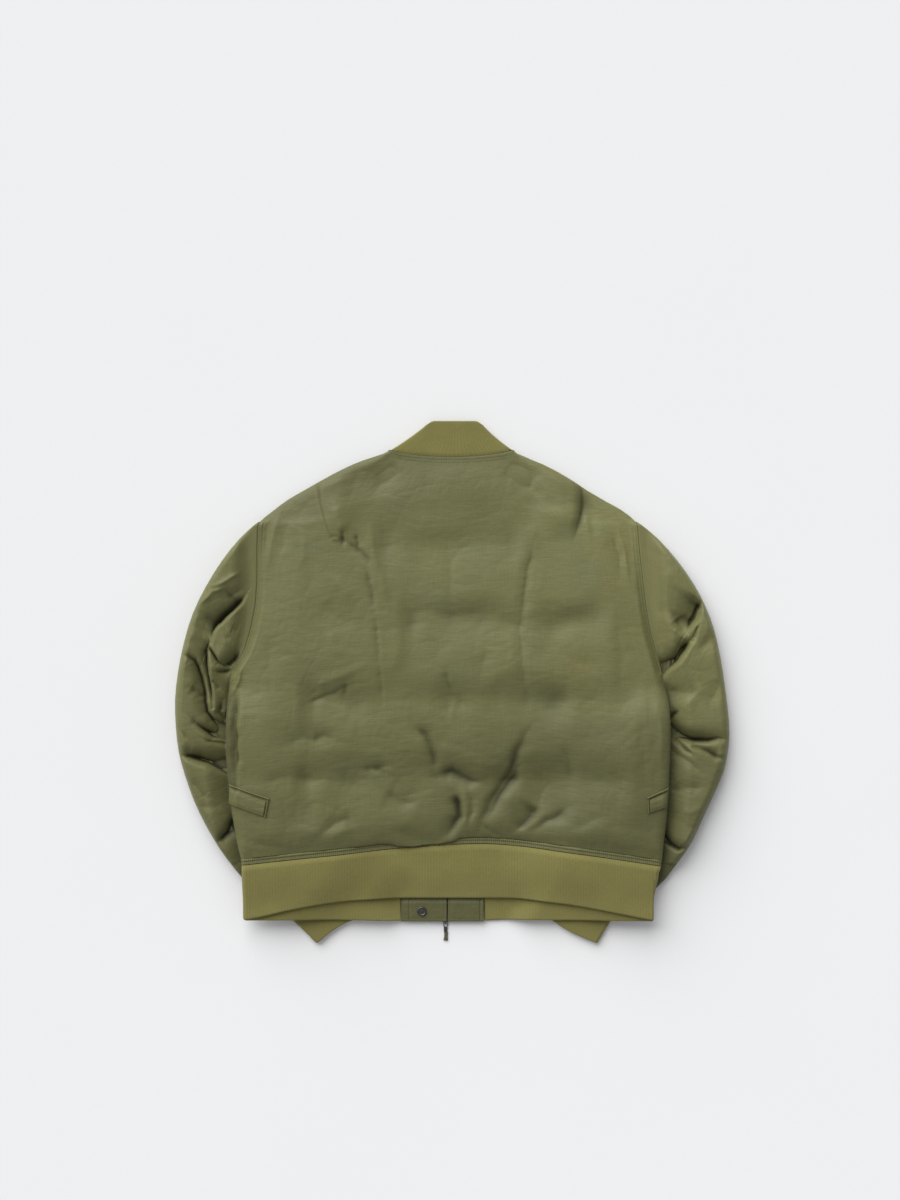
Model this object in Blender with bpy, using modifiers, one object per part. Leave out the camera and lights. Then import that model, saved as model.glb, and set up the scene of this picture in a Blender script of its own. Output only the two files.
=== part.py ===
"""Bomber jacket laid flat with its back up. Sizes are in millimetres until the meshes are made.

+X is the jacket's right side as it lies, +Y runs to the collar, +Z up from the floor.
"""
import bpy
import numpy as np

SCALE = 0.001
SEAM = 0.3
FRONT_WALL = 8.0
LAYER_GAP = 2.5
BACK_WALL = 13.0
SEAM_WALL = 9.0
RIB_WALL = 4.4
SLEEVE_WALL = 8.0
SLEEVE_GAP = 2.0
SLEEVE_PUFF = 9.0
SLEEVE_STACK = 2 * SLEEVE_WALL + SLEEVE_GAP
LIFT = SLEEVE_STACK + 1.5
CUFF_STACK = 9.4
CUFF_LIFT = CUFF_STACK + 1.3
EDGE_ROUND = 16.0
SLEEVE_ROUND = 15.0
ZIP_X = -6.5
ZIP_HALF = 5.0
UNDERARM_Y = 9.0
TIP_Y = 228.0
NECK_HALF = 86.6

# y, left x, right x of the body's outline, from the hem seam up to the neck
BODY_SIDES = [
    (-252, -296, 300), (-225, -303, 303), (-190, -309, 307), (-152, -314, 310),
    (-110, -318, 311), (-68, -319, 310), (-25, -317, 306), (9, -315, 298),
    (25, -307, 294), (46, -294, 288), (75, -285, 280), (110, -278, 274),
    (145, -275.5, 270), (188, -275.5, 265), (228, -274, 262), (245, -252, 241),
    (259, -234, 214), (273, -209, 190), (283, -192, 177), (302, -157, 145),
    (316, -126, 115), (322, -104, 95), (327, -86.6, 86.6)]
# the back's hem seam: its highest point, then drop and half length to each side
HEM_PEAK_X, HEM_PEAK_Y = 40.0, -219.0
HEM_LEFT_DROP, HEM_LEFT_RUN = 30.0, 336.0
HEM_RIGHT_DROP, HEM_RIGHT_RUN = 33.0, 261.0
# x, y of the back rib's lower edge, and of the front rib's
BACK_RIB_END = [
    (-330, -337), (-295, -336), (-214, -317), (-158, -309), (-100, -306),
    (98, -306), (183, -316), (254, -329), (290, -337), (330, -338)]
FRONT_RIB_END = [
    (-330, -336), (-295, -336), (-171, -336), (-71, -339), (45, -340),
    (70, -337), (149, -337), (290, -337), (330, -338)]
# outer x, outer y, inner x, inner y of each section of the left sleeve, armhole to cuff
LEFT_SLEEVE = [
    (-274, 228, -315, 9), (-301, 205, -316.7, 2), (-326, 174, -318.1, -5),
    (-349, 137, -318.9, -12), (-368, 99, -319.1, -19), (-380.5, 57, -318.6, -28),
    (-389, 15, -315, -38), (-393.4, -25, -309.5, -49), (-392, -62, -301, -65),
    (-388, -99, -288, -84), (-379, -131, -272.5, -107), (-366.5, -167, -254, -133),
    (-351, -199.5, -233, -163), (-331, -234, -210, -192), (-308, -266, -189, -222),
    (-282.5, -295, -173, -245), (-254, -317.5, -162, -263)]
RIGHT_SLEEVE = [
    (262, 228, 298, 9), (293, 204, 300.8, 3), (321, 172, 302.6, -3),
    (344, 139, 304.2, -9), (359, 110, 305.7, -15), (371, 80, 307.2, -22),
    (381, 36, 307.7, -31), (388, -11, 304.5, -42), (393, -53, 298, -57),
    (393.4, -84, 288, -77), (386, -124, 272, -102), (370, -157, 252.5, -131),
    (353, -192, 229.5, -163), (339, -226, 207, -195), (321, -255, 192, -226),
    (288, -291, 181, -247), (252.8, -304.6, 174.7, -262)]
# x, y of the hidden inner edge that the front rests on, sleeve then cuff
LEFT_REST = [(-315, 40), (-319, -19), (-315, -38), (-301, -65), (-272, -107), (-233, -163),
             (-189, -222), (-162, -263), (-114, -329), (-100, -345)]
RIGHT_REST = [(298, 40), (306, -27), (304, -39), (288, -77), (252, -131), (207, -195),
              (181, -247), (175, -262), (126, -327), (113, -345)]
# y of each cross seam, ends of its stretch, depth
QUILT = [(195.0, -105, 92, 4.5), (84.5, -62, 216, 7.0),
         (-25.0, -206, 258, 7.0), (-135.5, -214, 244, 6.5)]
# x, y, x, y, half width, depth of the large folds; a minus depth stands up
BACK_FOLDS = [
    (-54, -63, -27, -112, 11, 6), (-27, -122, 2, -130, 9, 5), (2, -130, 38, -143, 9, 4),
    (108, -63, 84, -118, 10, 7), (84, -118, 41, -189, 11, 9), (41, -189, 31, -204, 10, 6),
    (9, -160, 1, -206, 9, 6), (109, -171, 54, -214, 10, 4), (170, -174, 92, -217, 12, 4),
    (-207, -25, -150, -4, 10, 4), (-212, -78, -170, -88, 14, 3), (88, 311, 106, 287, 10, 4),
    (-116, 311, -150, 274, 12, 3), (-119, 245, -84, 102, 12, -2), (-121, 160, -105, -6, 8, 3),
    (128, 240, 95, 84, 14, 3), (212, 215, 248, 141, 9, -2), (-242, 237, -264, 166, 9, -2)]
LEFT_FOLDS = [
    (-288, 134, -326, 92, 14, 9), (-335, 72, -346, 30, 10, 5), (-348, 20, -336, -38, 11, 6),
    (-376, 36, -352, -6, 10, 5), (-366, -10, -330, -56, 11, 6), (-352, -64, -318, -84, 10, 5),
    (-382, -104, -316, -112, 14, 8), (-322, -90, -372, -52, 12, -3), (-322, -232, -302, -208, 9, 5)]
RIGHT_FOLDS = [
    (352, 112, 318, 84, 12, 6), (336, 62, 300, 14, 12, 8), (360, 68, 334, 36, 9, 4),
    (312, 8, 330, -14, 16, 5), (314, -68, 378, -78, 9, 7), (330, -90, 388, -106, 9, 5),
    (318, -96, 340, -122, 9, 4), (306, -222, 344, -222, 12, 5), (352, 2, 326, -58, 14, -3)]


def fresh_scene():
    for item in list(bpy.data.objects):
        bpy.data.objects.remove(item, do_unlink=True)
    for group in list(bpy.data.collections):
        bpy.data.collections.remove(group)
    group = bpy.data.collections.new("bomber_jacket")
    bpy.context.scene.collection.children.link(group)
    return group


def material(name, colour, rough, metal=0.0):
    made = bpy.data.materials.new(name)
    made.use_nodes = True
    shader = made.node_tree.nodes["Principled BSDF"]
    shader.inputs["Base Color"].default_value = (*colour, 1.0)
    shader.inputs["Roughness"].default_value = rough
    shader.inputs["Metallic"].default_value = metal
    return made


def ramp(value):
    part = np.clip(value, 0.0, 1.0)
    return part * part * (3.0 - 2.0 * part)


def arc(value):
    part = np.clip(value, 0.0, 1.0)
    return np.sqrt(1.0 - (1.0 - part) ** 2)


def along(table, key, value, at):
    rows = sorted((row[key], row[value]) for row in table)
    return np.interp(at, [row[0] for row in rows], [row[1] for row in rows])


def side_x(y, value):
    """The outline's x at y, smoothed over the table's corners."""
    total = np.zeros_like(np.asarray(y, dtype=float))
    for step, weight in ((-6.0, 0.25), (0.0, 0.5), (6.0, 0.25)):
        total = total + weight * along(BODY_SIDES, 0, value, np.asarray(y) + step)
    return total


def edge_distance(x, y):
    """Distance in from the side or shoulder edge, square to it."""
    nearest = np.full(np.shape(x), 1e6)
    for value, sign in ((1, 1.0), (2, -1.0)):
        slope = (side_x(y + 3.0, value) - side_x(y - 3.0, value)) / 6.0
        away = sign * (x - side_x(y, value)) / np.sqrt(1.0 + slope * slope)
        nearest = np.minimum(nearest, away)
    return np.maximum(nearest, 0.0)


def segment_distance(x, y, x1, y1, x2, y2):
    dx, dy = x2 - x1, y2 - y1
    part = np.clip(((x - x1) * dx + (y - y1) * dy) / (dx * dx + dy * dy), 0.0, 1.0)
    return np.hypot(x - x1 - part * dx, y - y1 - part * dy)


def folds(table, x, y):
    """Depth of the large folds, deepest where two of them meet."""
    sunk = np.zeros(np.shape(x))
    raised = np.zeros(np.shape(x))
    for x1, y1, x2, y2, half, depth in table:
        shape = np.exp(-(segment_distance(x, y, x1, y1, x2, y2) / half) ** 2)
        if depth > 0:
            sunk = np.maximum(sunk, depth * shape)
        else:
            raised = np.maximum(raised, -depth * shape)
    return sunk - raised


def hem_line(x):
    """y of the back's hem seam, an uneven arch."""
    away = np.sqrt((x - HEM_PEAK_X) ** 2 + 225.0) - 15.0
    drop = np.where(x < HEM_PEAK_X, HEM_LEFT_DROP, HEM_RIGHT_DROP)
    run = np.where(x < HEM_PEAK_X, HEM_LEFT_RUN, HEM_RIGHT_RUN)
    return HEM_PEAK_Y - drop * (away / run) ** 1.3


def armhole(y):
    """1 along the armhole, 0 at the side seam and at the shoulder seam."""
    return ramp((y - UNDERARM_Y + 4.0) / 12.0) * ramp((TIP_Y + 6.0 - y) / 12.0)


def rest_height(x, y):
    """How high the front's outer face lies over the sleeve and the cuff under it."""
    height = np.zeros(np.shape(x))
    for table, sign in ((LEFT_REST, 1.0), (RIGHT_REST, -1.0)):
        inside = sign * (along(table, 1, 0, y) - x)
        along_arm = 0.749 * sign * x - 0.662 * y
        over_cuff = ramp((along_arm - (along_cuff(sign) + 4.0)) / 62.0)
        top = LIFT + (CUFF_LIFT - LIFT) * over_cuff
        top = top * ramp((2.0 - y) / 52.0)
        slope = 118.0 - 74.0 * ramp((-258.0 - y) / 62.0)
        height = np.maximum(height, top * ramp((inside + 4.0 + slope) / slope))
    return height


def along_cuff(sign):
    table = LEFT_SLEEVE if sign > 0 else RIGHT_SLEEVE
    outer_x, outer_y, inner_x, inner_y = table[-1]
    first = 0.749 * sign * outer_x - 0.662 * outer_y
    last = 0.749 * sign * inner_x - 0.662 * inner_y
    return 0.5 * (first + last)


def quilting(x, y):
    """Rise of the back between its cross seams."""
    sunk = np.zeros(np.shape(x))
    for line, left, right, depth in QUILT:
        reach = ramp((x - left) / 22.0 + 0.5) * ramp((right - x) / 22.0 + 0.5)
        away = y - line
        shape = np.where(away > 0, np.exp(-(away / 20.0) ** 2), np.exp(-(away / 9.0) ** 2))
        sunk = np.maximum(sunk, depth * reach * shape)
    puff = 5.0 * ramp(edge_distance(x, y) / 70.0) * ramp((318.0 - y) / 60.0)
    return puff - sunk


def pleats(x, y):
    """Step of the centre of the back over each action pleat."""
    left_edge = np.interp(y, [202, 224, 252, 285], [-172, -180, -187.5, -192])
    right_edge = np.interp(y, [202, 231, 259, 285], [173, 179, 183, 184])
    span = ramp((y - 196.0) / 8.0)
    left = ramp((x - left_edge) / 3.0 + 0.5) * ramp((-120.0 - x) / 50.0)
    right = ramp((right_edge - x) / 3.0 + 0.5) * ramp((x - 120.0) / 45.0)
    return 3.5 * span * np.maximum(left, right)


def neck_thin(x, y):
    """1 where the layers thin out toward the neck seam."""
    return ramp((y - 285.0) / 36.0) * ramp((118.0 - np.abs(x)) / 25.0)


def front_wall(x, y):
    return FRONT_WALL - 2.6 * neck_thin(x, y)


def layer_gap(x, y):
    return LAYER_GAP - 0.7 * neck_thin(x, y)


def seam_level(x, y):
    return rest_height(x, y) + front_wall(x, y) + 0.5 * layer_gap(x, y)


def back_wall(x, y):
    from_hem = y - hem_line(x)
    pinch = ramp(1.0 - from_hem / 26.0)
    arm = armhole(y) * ramp(1.0 - edge_distance(x, y) / 16.0)
    full = BACK_WALL + quilting(x, y) + pleats(x, y) - folds(BACK_FOLDS, x, y)
    drop = np.maximum(np.maximum(pinch, arm), 0.75 * ramp((y - 292.0) / 26.0))
    drop = np.maximum(drop, 0.9 * neck_thin(x, y))
    low = SEAM_WALL - 4.2 * neck_thin(x, y)
    return np.maximum(full * (1.0 - drop) + low * drop, 4.4)


def inner_step(x, y, wall):
    """0 at the edge seam, 1 past the wall's own thickness."""
    arm = armhole(y)
    return np.maximum(arm, ramp((edge_distance(x, y) - 0.5 * wall) / (0.6 * wall)))


def back_bottom(x, y):
    half = 0.5 * layer_gap(x, y)
    return seam_level(x, y) + 0.5 * SEAM + (half - 0.5 * SEAM) * inner_step(x, y, SEAM_WALL)


def back_top(x, y):
    level = seam_level(x, y) + 0.5 * SEAM
    full = rest_height(x, y) + front_wall(x, y) + layer_gap(x, y) + back_wall(x, y)
    arm = armhole(y)
    round_off = arm + (1.0 - arm) * arc(edge_distance(x, y) / EDGE_ROUND + 0.012)
    return level + (full - level) * round_off


def front_top(x, y):
    half = 0.5 * layer_gap(x, y)
    return seam_level(x, y) - 0.5 * SEAM - (half - 0.5 * SEAM) * inner_step(x, y, FRONT_WALL)


def front_bottom(x, y):
    level = seam_level(x, y) - 0.5 * SEAM
    arm = armhole(y)
    round_off = arm + (1.0 - arm) * arc(edge_distance(x, y) / 12.0 + 0.012)
    return level - (level - rest_height(x, y)) * round_off


def closed_mesh(name, points, faces, made):
    """One closed body from points in millimetres, its faces turned outward."""
    points = np.asarray(points, dtype=float)
    volume = 0.0
    for face in faces:
        for one, two in zip(face[1:-1], face[2:]):
            volume += np.dot(points[face[0]], np.cross(points[one], points[two]))
    if volume < 0:
        faces = [face[::-1] for face in faces]
    mesh = bpy.data.meshes.new(name)
    mesh.from_pydata([tuple(point) for point in points * SCALE], [], faces)
    mesh.polygons.foreach_set("use_smooth", [True] * len(mesh.polygons))
    mesh.materials.append(made)
    mesh.update()
    thing = bpy.data.objects.new(name, mesh)
    GROUP.objects.link(thing)
    return thing


def picked(count, step, extra=()):
    return sorted(set(range(0, count, step)) | {count - 1} | set(extra))


def slab(name, x, y, fine, coarse, made, step=1, extra_rows=()):
    """A cloth piece: a fine face, a coarser hidden face and a rim between them."""
    rows, cols = x.shape
    keep_r, keep_c = picked(rows, step, extra_rows), picked(cols, step)
    points = [(x[r, c], y[r, c], fine[r, c]) for r in range(rows) for c in range(cols)]
    spot = {}
    for r in keep_r:
        for c in keep_c:
            spot[(r, c)] = len(points)
            points.append((x[r, c], y[r, c], coarse[r, c]))
    faces = []
    for r in range(rows - 1):
        for c in range(cols - 1):
            one = r * cols + c
            faces.append((one, one + 1, one + cols + 1, one + cols))
    for r, r2 in zip(keep_r[:-1], keep_r[1:]):
        for c, c2 in zip(keep_c[:-1], keep_c[1:]):
            faces.append((spot[(r, c)], spot[(r2, c)], spot[(r2, c2)], spot[(r, c2)]))
    loop = [(0, c) for c in range(cols)] + [(r, cols - 1) for r in range(1, rows)]
    loop += [(rows - 1, c) for c in range(cols - 2, -1, -1)]
    loop += [(r, 0) for r in range(rows - 2, -1, -1)]
    marks = [n for n, cell in enumerate(loop) if cell in spot]
    for start, end in zip(marks[:-1], marks[1:]):
        low_a, low_b = spot[loop[start]], spot[loop[end]]
        high = [loop[n][0] * cols + loop[n][1] for n in range(start, end + 1)]
        middle = (len(high) - 1) // 2
        for n in range(middle):
            faces.append((low_a, high[n + 1], high[n]))
        faces.append((low_a, low_b, high[middle]))
        for n in range(middle, len(high) - 1):
            faces.append((low_b, high[n + 1], high[n]))
    return closed_mesh(name, points, faces, made)


def ring_tube(name, outer, inner, made):
    """A folded tube from outer and inner rings, open at both ends."""
    count, around = len(outer), len(outer[0])
    points = [spot for ring in outer for spot in ring] + [spot for ring in inner for spot in ring]
    shift = count * around
    faces = []
    for k in range(count - 1):
        for n in range(around):
            m = (n + 1) % around
            a, b = k * around + n, k * around + m
            faces.append((a, b, b + around, a + around))
            faces.append((shift + a, shift + a + around, shift + b + around, shift + b))
    for n in range(around):
        m = (n + 1) % around
        last = (count - 1) * around
        faces.append((n, shift + n, shift + m, m))
        faces.append((last + n, last + m, shift + last + m, shift + last + n))
    return closed_mesh(name, points, faces, made)


def band(name, centre, wall, made):
    """A strip of even thickness on a centre surface given as an array of points."""
    length = np.gradient(centre, axis=1)
    normal = np.stack([-length[:, :, 2], 0.0 * length[:, :, 1], length[:, :, 0]], axis=2)
    normal = normal / np.linalg.norm(normal, axis=2, keepdims=True)
    rows, cols = centre.shape[:2]
    points = np.concatenate([(centre + 0.5 * wall * normal).reshape(-1, 3),
                             (centre - 0.5 * wall * normal).reshape(-1, 3)])
    shift = rows * cols
    faces = []
    for r in range(rows - 1):
        for c in range(cols - 1):
            one = r * cols + c
            faces.append((one, one + 1, one + cols + 1, one + cols))
            faces.append((shift + one, shift + one + cols, shift + one + cols + 1, shift + one + 1))
    loop = [c for c in range(cols)] + [r * cols + cols - 1 for r in range(1, rows)]
    loop += [(rows - 1) * cols + c for c in range(cols - 2, -1, -1)]
    loop += [r * cols for r in range(rows - 2, -1, -1)]
    for one, two in zip(loop[:-1], loop[1:]):
        faces.append((one, shift + one, shift + two, two))
    return closed_mesh(name, points, faces, made)


ARMHOLE_ROWS = [9, 24, 40, 57, 75, 85, 97, 110, 128, 148, 168, 186, 195, 203, 214, 228]
LOWER_ROWS = [-200, -180, -163, -147, -135.5, -126, -112, -95, -77, -58, -42, -25, -15, -4]
UPPER_ROWS = [237, 249, 262, 275, 288, 300, 311]
LAYER_ROWS = (15, 37)
SIDE_COLUMNS = [0.0, 0.006, 0.016, 0.03, 0.05, 0.075]


def row_heights(shoulder_rows, end_row, hem_line):
    """Each row's y as a function of x: the lowest rows bend to the hem line."""
    def shape(x):
        heights = [hem_line(x)]
        for level in LOWER_ROWS:
            bend = ramp((-120.0 - level) / 130.0)
            heights.append(level + bend * 0.75 * (hem_line(x) + 232.0))
        for level in ARMHOLE_ROWS + shoulder_rows:
            heights.append(np.full_like(x, float(level)))
        if end_row is not None:
            heights.append(end_row(x))
        return heights
    return shape


def front_hem_line(x):
    return -258.0 + 9.0 * ramp(-x / 300.0) + 6.0 * ramp(x / 300.0)


def neck_line(x):
    return 319.0 + 8.0 * np.minimum(np.abs(x) / NECK_HALF, 1.0) ** 2


def panel_grid(columns, rows, left, right):
    """Points of a panel whose rows run between two edges given as functions of y."""
    share = np.asarray(columns)
    guess = rows(np.zeros_like(share))
    grid_x, grid_y = [], []
    for index in range(len(guess)):
        y = np.full_like(share, float(np.mean(guess[index])))
        for _ in range(4):
            x = left(y) + share * (right(y) - left(y))
            y = rows(x)[index]
        grid_x.append(x)
        grid_y.append(y)
    return np.array(grid_x), np.array(grid_y)


def left_side(y):
    return side_x(y, 1)


def right_side(y):
    return side_x(y, 2)


def body_columns():
    middle = np.linspace(0.105, 0.895, 31)
    return SIDE_COLUMNS + list(middle) + [1.0 - part for part in SIDE_COLUMNS[::-1]]


def build_back(made):
    rows = row_heights(UPPER_ROWS, neck_line, hem_line)
    x, y = panel_grid(body_columns(), rows, left_side, right_side)
    slab("back_panel", x, y, back_top(x, y), back_bottom(x, y), made, 2, LAYER_ROWS)


def front_neck(y, sign):
    """The front panel's inner edge: the zip below, the neckline above."""
    centre = ZIP_X - sign * 12.0
    part = np.clip((327.0 - y) / 65.0, 0.0, 1.0)
    turn = np.arcsin(part) / (0.5 * np.pi)
    edge = -sign * (NECK_HALF - 1.5)
    return edge + turn * (centre - edge)


def build_front(made, sign):
    """Its nodes lie under those of the back's hidden face, so the layers stay parallel."""
    name = "front_panel_left" if sign > 0 else "front_panel_right"
    columns = np.array(body_columns())
    keep = columns[picked(len(columns), 2)]
    keep = keep[keep < 0.455] if sign > 0 else 1.0 - keep[keep > 0.545][::-1]
    rows = row_heights(UPPER_ROWS, None, hem_line)
    x, y = panel_grid(columns, rows, left_side, right_side)
    pick = picked(len(y), 2, LAYER_ROWS)
    grid_x, grid_y = [], []
    for n in pick:
        level_y = np.interp(keep if sign > 0 else 1.0 - keep, columns, y[n])
        outer = left_side(level_y) if sign > 0 else right_side(level_y)
        width = right_side(level_y) - left_side(level_y)
        inner_y = y[n][len(columns) // 2]
        inner = float(front_neck(np.array(inner_y), sign))
        room = abs(inner - float((left_side if sign > 0 else right_side)(np.array(inner_y))))
        squeeze = min(1.0, 0.96 * room / (keep[-1] * float(np.mean(width))))
        row_x = outer + sign * keep * width * squeeze
        grid_x.append(np.append(row_x, inner))
        grid_y.append(np.append(level_y, inner_y))
    x, y = np.array(grid_x), np.array(grid_y)
    y[0] = np.maximum(front_hem_line(x[0]) + 12.0, hem_line(x[0]))
    x = np.vstack([x[:1], x])
    y = np.vstack([front_hem_line(x[:1]), y])
    for edge in (0, 1):
        x[edge, 0] = (left_side if sign > 0 else right_side)(y[edge, 0])
    if sign < 0:
        x, y = x[:, ::-1], y[:, ::-1]
    slab(name, x, y, front_top(x, y), front_bottom(x, y), made)


def sleeve_grid(table, sign, counts):
    """Points from the armhole to the cuff seam, each row from the outer to the inner edge."""
    steps = np.arange(len(table))
    at = np.linspace(0, len(table) - 1, counts)
    ends = [np.interp(at, steps, [row[n] for row in table]) for n in range(4)]
    share = (TIP_Y - np.array(ARMHOLE_ROWS[::-1], dtype=float)) / (TIP_Y - UNDERARM_Y)
    level = np.array(ARMHOLE_ROWS[::-1], dtype=float)
    seam = side_x(level, 1 if sign > 0 else 2) - sign * SEAM
    chord = seam[0] + share * (seam[-1] - seam[0])
    x = ends[0][:, None] + share[None, :] * (ends[2] - ends[0])[:, None]
    y = ends[1][:, None] + share[None, :] * (ends[3] - ends[1])[:, None]
    fade = np.clip(1.0 - at / 3.6, 0.0, 1.0)[:, None]
    x = x + fade * (seam - chord)[None, :]
    x[0], y[0] = seam, level
    width = np.hypot(ends[2] - ends[0], ends[3] - ends[1])[:, None]
    nearest = np.minimum(share[None, :], 1.0 - share[None, :]) * width
    return x, y, at, nearest, share


def sleeve_heights(table, sign, x, y, at, nearest):
    """Top and bottom faces of the top sleeve and of the under sleeve."""
    end = len(table) - 1.0
    to_cuff = ramp((at - (end - 3.0)) / 3.0)[:, None]
    wall = SLEEVE_WALL - 2.4 * to_cuff
    gap = SLEEVE_GAP
    level = wall + 0.5 * gap
    outside = sign * (side_x(y, 1 if sign > 0 else 2) - x)
    outside = np.where(y < -256.0, -10.0, outside)
    seen = ramp(outside / 32.0) * (1.0 - to_cuff)
    sunk = folds(LEFT_FOLDS if sign > 0 else RIGHT_FOLDS, x, y)
    inner = ramp((nearest - 0.5 * wall) / (0.6 * wall))
    full = 2.0 * wall + gap + SLEEVE_PUFF * seen
    top = level + 0.5 * SEAM + (full - level) * arc(nearest / SLEEVE_ROUND + 0.012)
    low = level + 0.5 * SEAM + (0.5 * gap - 0.5 * SEAM) * inner
    top = np.maximum(top - sunk * ramp(nearest / 12.0) * ramp(outside / 14.0), low + 1.6 + 2.4 * inner)
    high = level - 0.5 * SEAM - (0.5 * gap - 0.5 * SEAM) * inner
    floor = (level - 0.5 * SEAM) * (1.0 - arc(nearest / 12.0 + 0.012))
    body = np.clip(1.0 - at / 1.6, 0.0, 1.0)[:, None]
    body = body * body * (3.0 - 2.0 * body)
    edge_x = side_x(y, 1 if sign > 0 else 2) + sign * 0.01
    hole = np.clip(y, UNDERARM_Y, TIP_Y)
    edge_x = side_x(hole, 1 if sign > 0 else 2) + sign * 0.01
    top = top * (1.0 - body) + back_top(edge_x, hole) * body
    low = low * (1.0 - body) + back_bottom(edge_x, hole) * body
    high = high * (1.0 - body) + front_top(edge_x, hole) * body
    floor = floor * (1.0 - body) + front_bottom(edge_x, hole) * body
    return top, low, high, floor


def build_sleeve(made, sign):
    table = LEFT_SLEEVE if sign > 0 else RIGHT_SLEEVE
    side = "left" if sign > 0 else "right"
    x, y, at, nearest, _ = sleeve_grid(table, sign, 29)
    top, low, high, floor = sleeve_heights(table, sign, x, y, at, nearest)
    slab("sleeve_" + side + "_top", x, y, top, low, made, 2)
    rows, cols = picked(29, 2), picked(x.shape[1], 2)
    pick = np.ix_(rows, cols)
    slab("sleeve_" + side + "_under", x[pick], y[pick], high[pick], floor[pick], made)


def stadium(length, height, flat, turn):
    """Points round a flat oval: along the top, round one end, back below, round the other."""
    half, radius = 0.5 * length - 0.5 * height, 0.5 * height
    spots = [(-half + 2.0 * half * n / flat, radius) for n in range(flat)]
    spots += [(half + radius * np.sin(np.pi * n / turn), radius * np.cos(np.pi * n / turn))
              for n in range(turn)]
    spots += [(half - 2.0 * half * n / flat, -radius) for n in range(flat)]
    spots += [(-half - radius * np.sin(np.pi * n / turn), -radius * np.cos(np.pi * n / turn))
              for n in range(turn)]
    return spots


def build_cuff(made, sign):
    """A folded rib tube from the cuff seam to the wrist edge."""
    table = LEFT_SLEEVE if sign > 0 else RIGHT_SLEEVE
    seam_out, seam_in = np.array(table[-1][0:2]), np.array(table[-1][2:4])
    end_out = np.array([-193.0, -371.3]) if sign > 0 else np.array([206.5, -371.3])
    end_in = np.array([-113.6, -329.0]) if sign > 0 else np.array([126.4, -327.5])
    run = 0.5 * (end_out + end_in) - 0.5 * (seam_out + seam_in)
    run = run / np.linalg.norm(run)
    outer, inner = [], []
    for part in (0.0, 0.14, 0.35, 0.6, 0.82, 1.0):
        narrow = 1.0 - 0.05 * np.sin(np.pi * part)
        first = seam_out + part * (end_out - seam_out)
        last = seam_in + part * (end_in - seam_in)
        middle = 0.5 * (first + last) + run * SEAM * (1.0 - part)
        way = last - first
        width = np.linalg.norm(way) * narrow
        way = way / np.linalg.norm(way)
        for rings, shrink in ((outer, 0.0), (inner, 4.0)):
            length, height = width - 2.0 * shrink, CUFF_STACK - 2.0 * shrink
            ring = []
            for away, up in stadium(length, height, 10, 4):
                ring.append((middle[0] + way[0] * away, middle[1] + way[1] * away,
                             0.5 * CUFF_STACK + up))
            rings.append(ring)
    ring_tube("cuff_left" if sign > 0 else "cuff_right", outer, inner, made)


def hem_columns():
    """x of the back panel's own columns on the hem seam, clear of the turned edges."""
    share = np.array(body_columns())
    x, y = panel_grid(share, lambda at: [hem_line(at)], left_side, right_side)
    return [float(value) for value in x[0] if -286.0 < value < 286.0]


def hem_path():
    """Stations round the hem: layer, x or turn, from one tab to the other."""
    stations = [("front", x) for x in [-72.6, *np.linspace(-82.0, -284.0, 12)]]
    stations += [("left", turn) for turn in (0.12, 0.3, 0.5, 0.7, 0.88)]
    stations += [("back", x) for x in hem_columns()]
    stations += [("right", turn) for turn in (0.12, 0.3, 0.5, 0.7, 0.88)]
    stations += [("front", x) for x in np.linspace(284.0, 45.9, 13)]
    return stations


def hem_point(layer, value, y_share, start, stop):
    """A point of the hem's centre surface, which sinks from the seam to its free edge."""
    base_x = value if layer in ("front", "back") else (-284.0 if layer == "left" else 284.0)
    nearest = layer if layer in ("front", "back") else "back"
    level = start[nearest](base_x) * (1 - y_share) + stop[nearest](base_x) * y_share
    settle = float(ramp((-259.0 - level) / 60.0))
    low_z = 5.9 - 3.4 * settle
    high_z = 14.2 - 5.4 * settle
    if layer in ("left", "right"):
        side = -1.0 if layer == "left" else 1.0
        turn = value if layer == "left" else 1.0 - value
        edge = -296.5 + 1.5 * settle if side < 0 else 299.5 - 9.0 * settle
        reach = abs(edge - base_x) - 0.5 * RIB_WALL
        radius = 0.5 * (high_z - low_z)
        x = base_x + side * (reach - radius + radius * np.sin(np.pi * turn))
        y_front = start["front"](x) * (1 - y_share) + stop["front"](x) * y_share
        y_back = start["back"](x) * (1 - y_share) + stop["back"](x) * y_share
        y = min(y_front, y_back)
        centre_z = 0.5 * (low_z + high_z)
        z = centre_z - radius * np.cos(np.pi * turn)
        return x, y, z + float(rest_height(np.array(base_x), np.array(y)))
    y = start[layer](value) * (1 - y_share) + stop[layer](value) * y_share
    z = high_z if layer == "back" else low_z
    return value, y, z + float(rest_height(np.array(value), np.array(y)))


def build_hem(made_rib, made_cloth):
    """The woven binding on the hem seam and the knitted rib below it."""
    lines = {"front": front_hem_line, "back": hem_line}

    def shifted(layer, drop):
        return lambda x: float(lines[layer](np.array(x))) - drop

    ends = {"front": lambda x: float(along(FRONT_RIB_END, 0, 1, x)),
            "back": lambda x: float(along(BACK_RIB_END, 0, 1, x))}
    layers = ("front", "back")
    jobs = [("hem_binding", {n: shifted(n, 2.0 * SEAM) for n in layers},
             {n: shifted(n, 9.3) for n in layers}, (0.0, 1.0), made_cloth),
            ("hem_rib", {n: shifted(n, 9.3 + 1.5 * SEAM) for n in layers}, ends,
             (0.0, 0.16, 0.36, 0.58, 0.8, 1.0), made_rib)]
    for name, start, stop, shares, made in jobs:
        rows = [[hem_point(layer, value, share, start, stop) for layer, value in hem_path()]
                for share in shares]
        band(name, np.array(rows), RIB_WALL, made)


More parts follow.
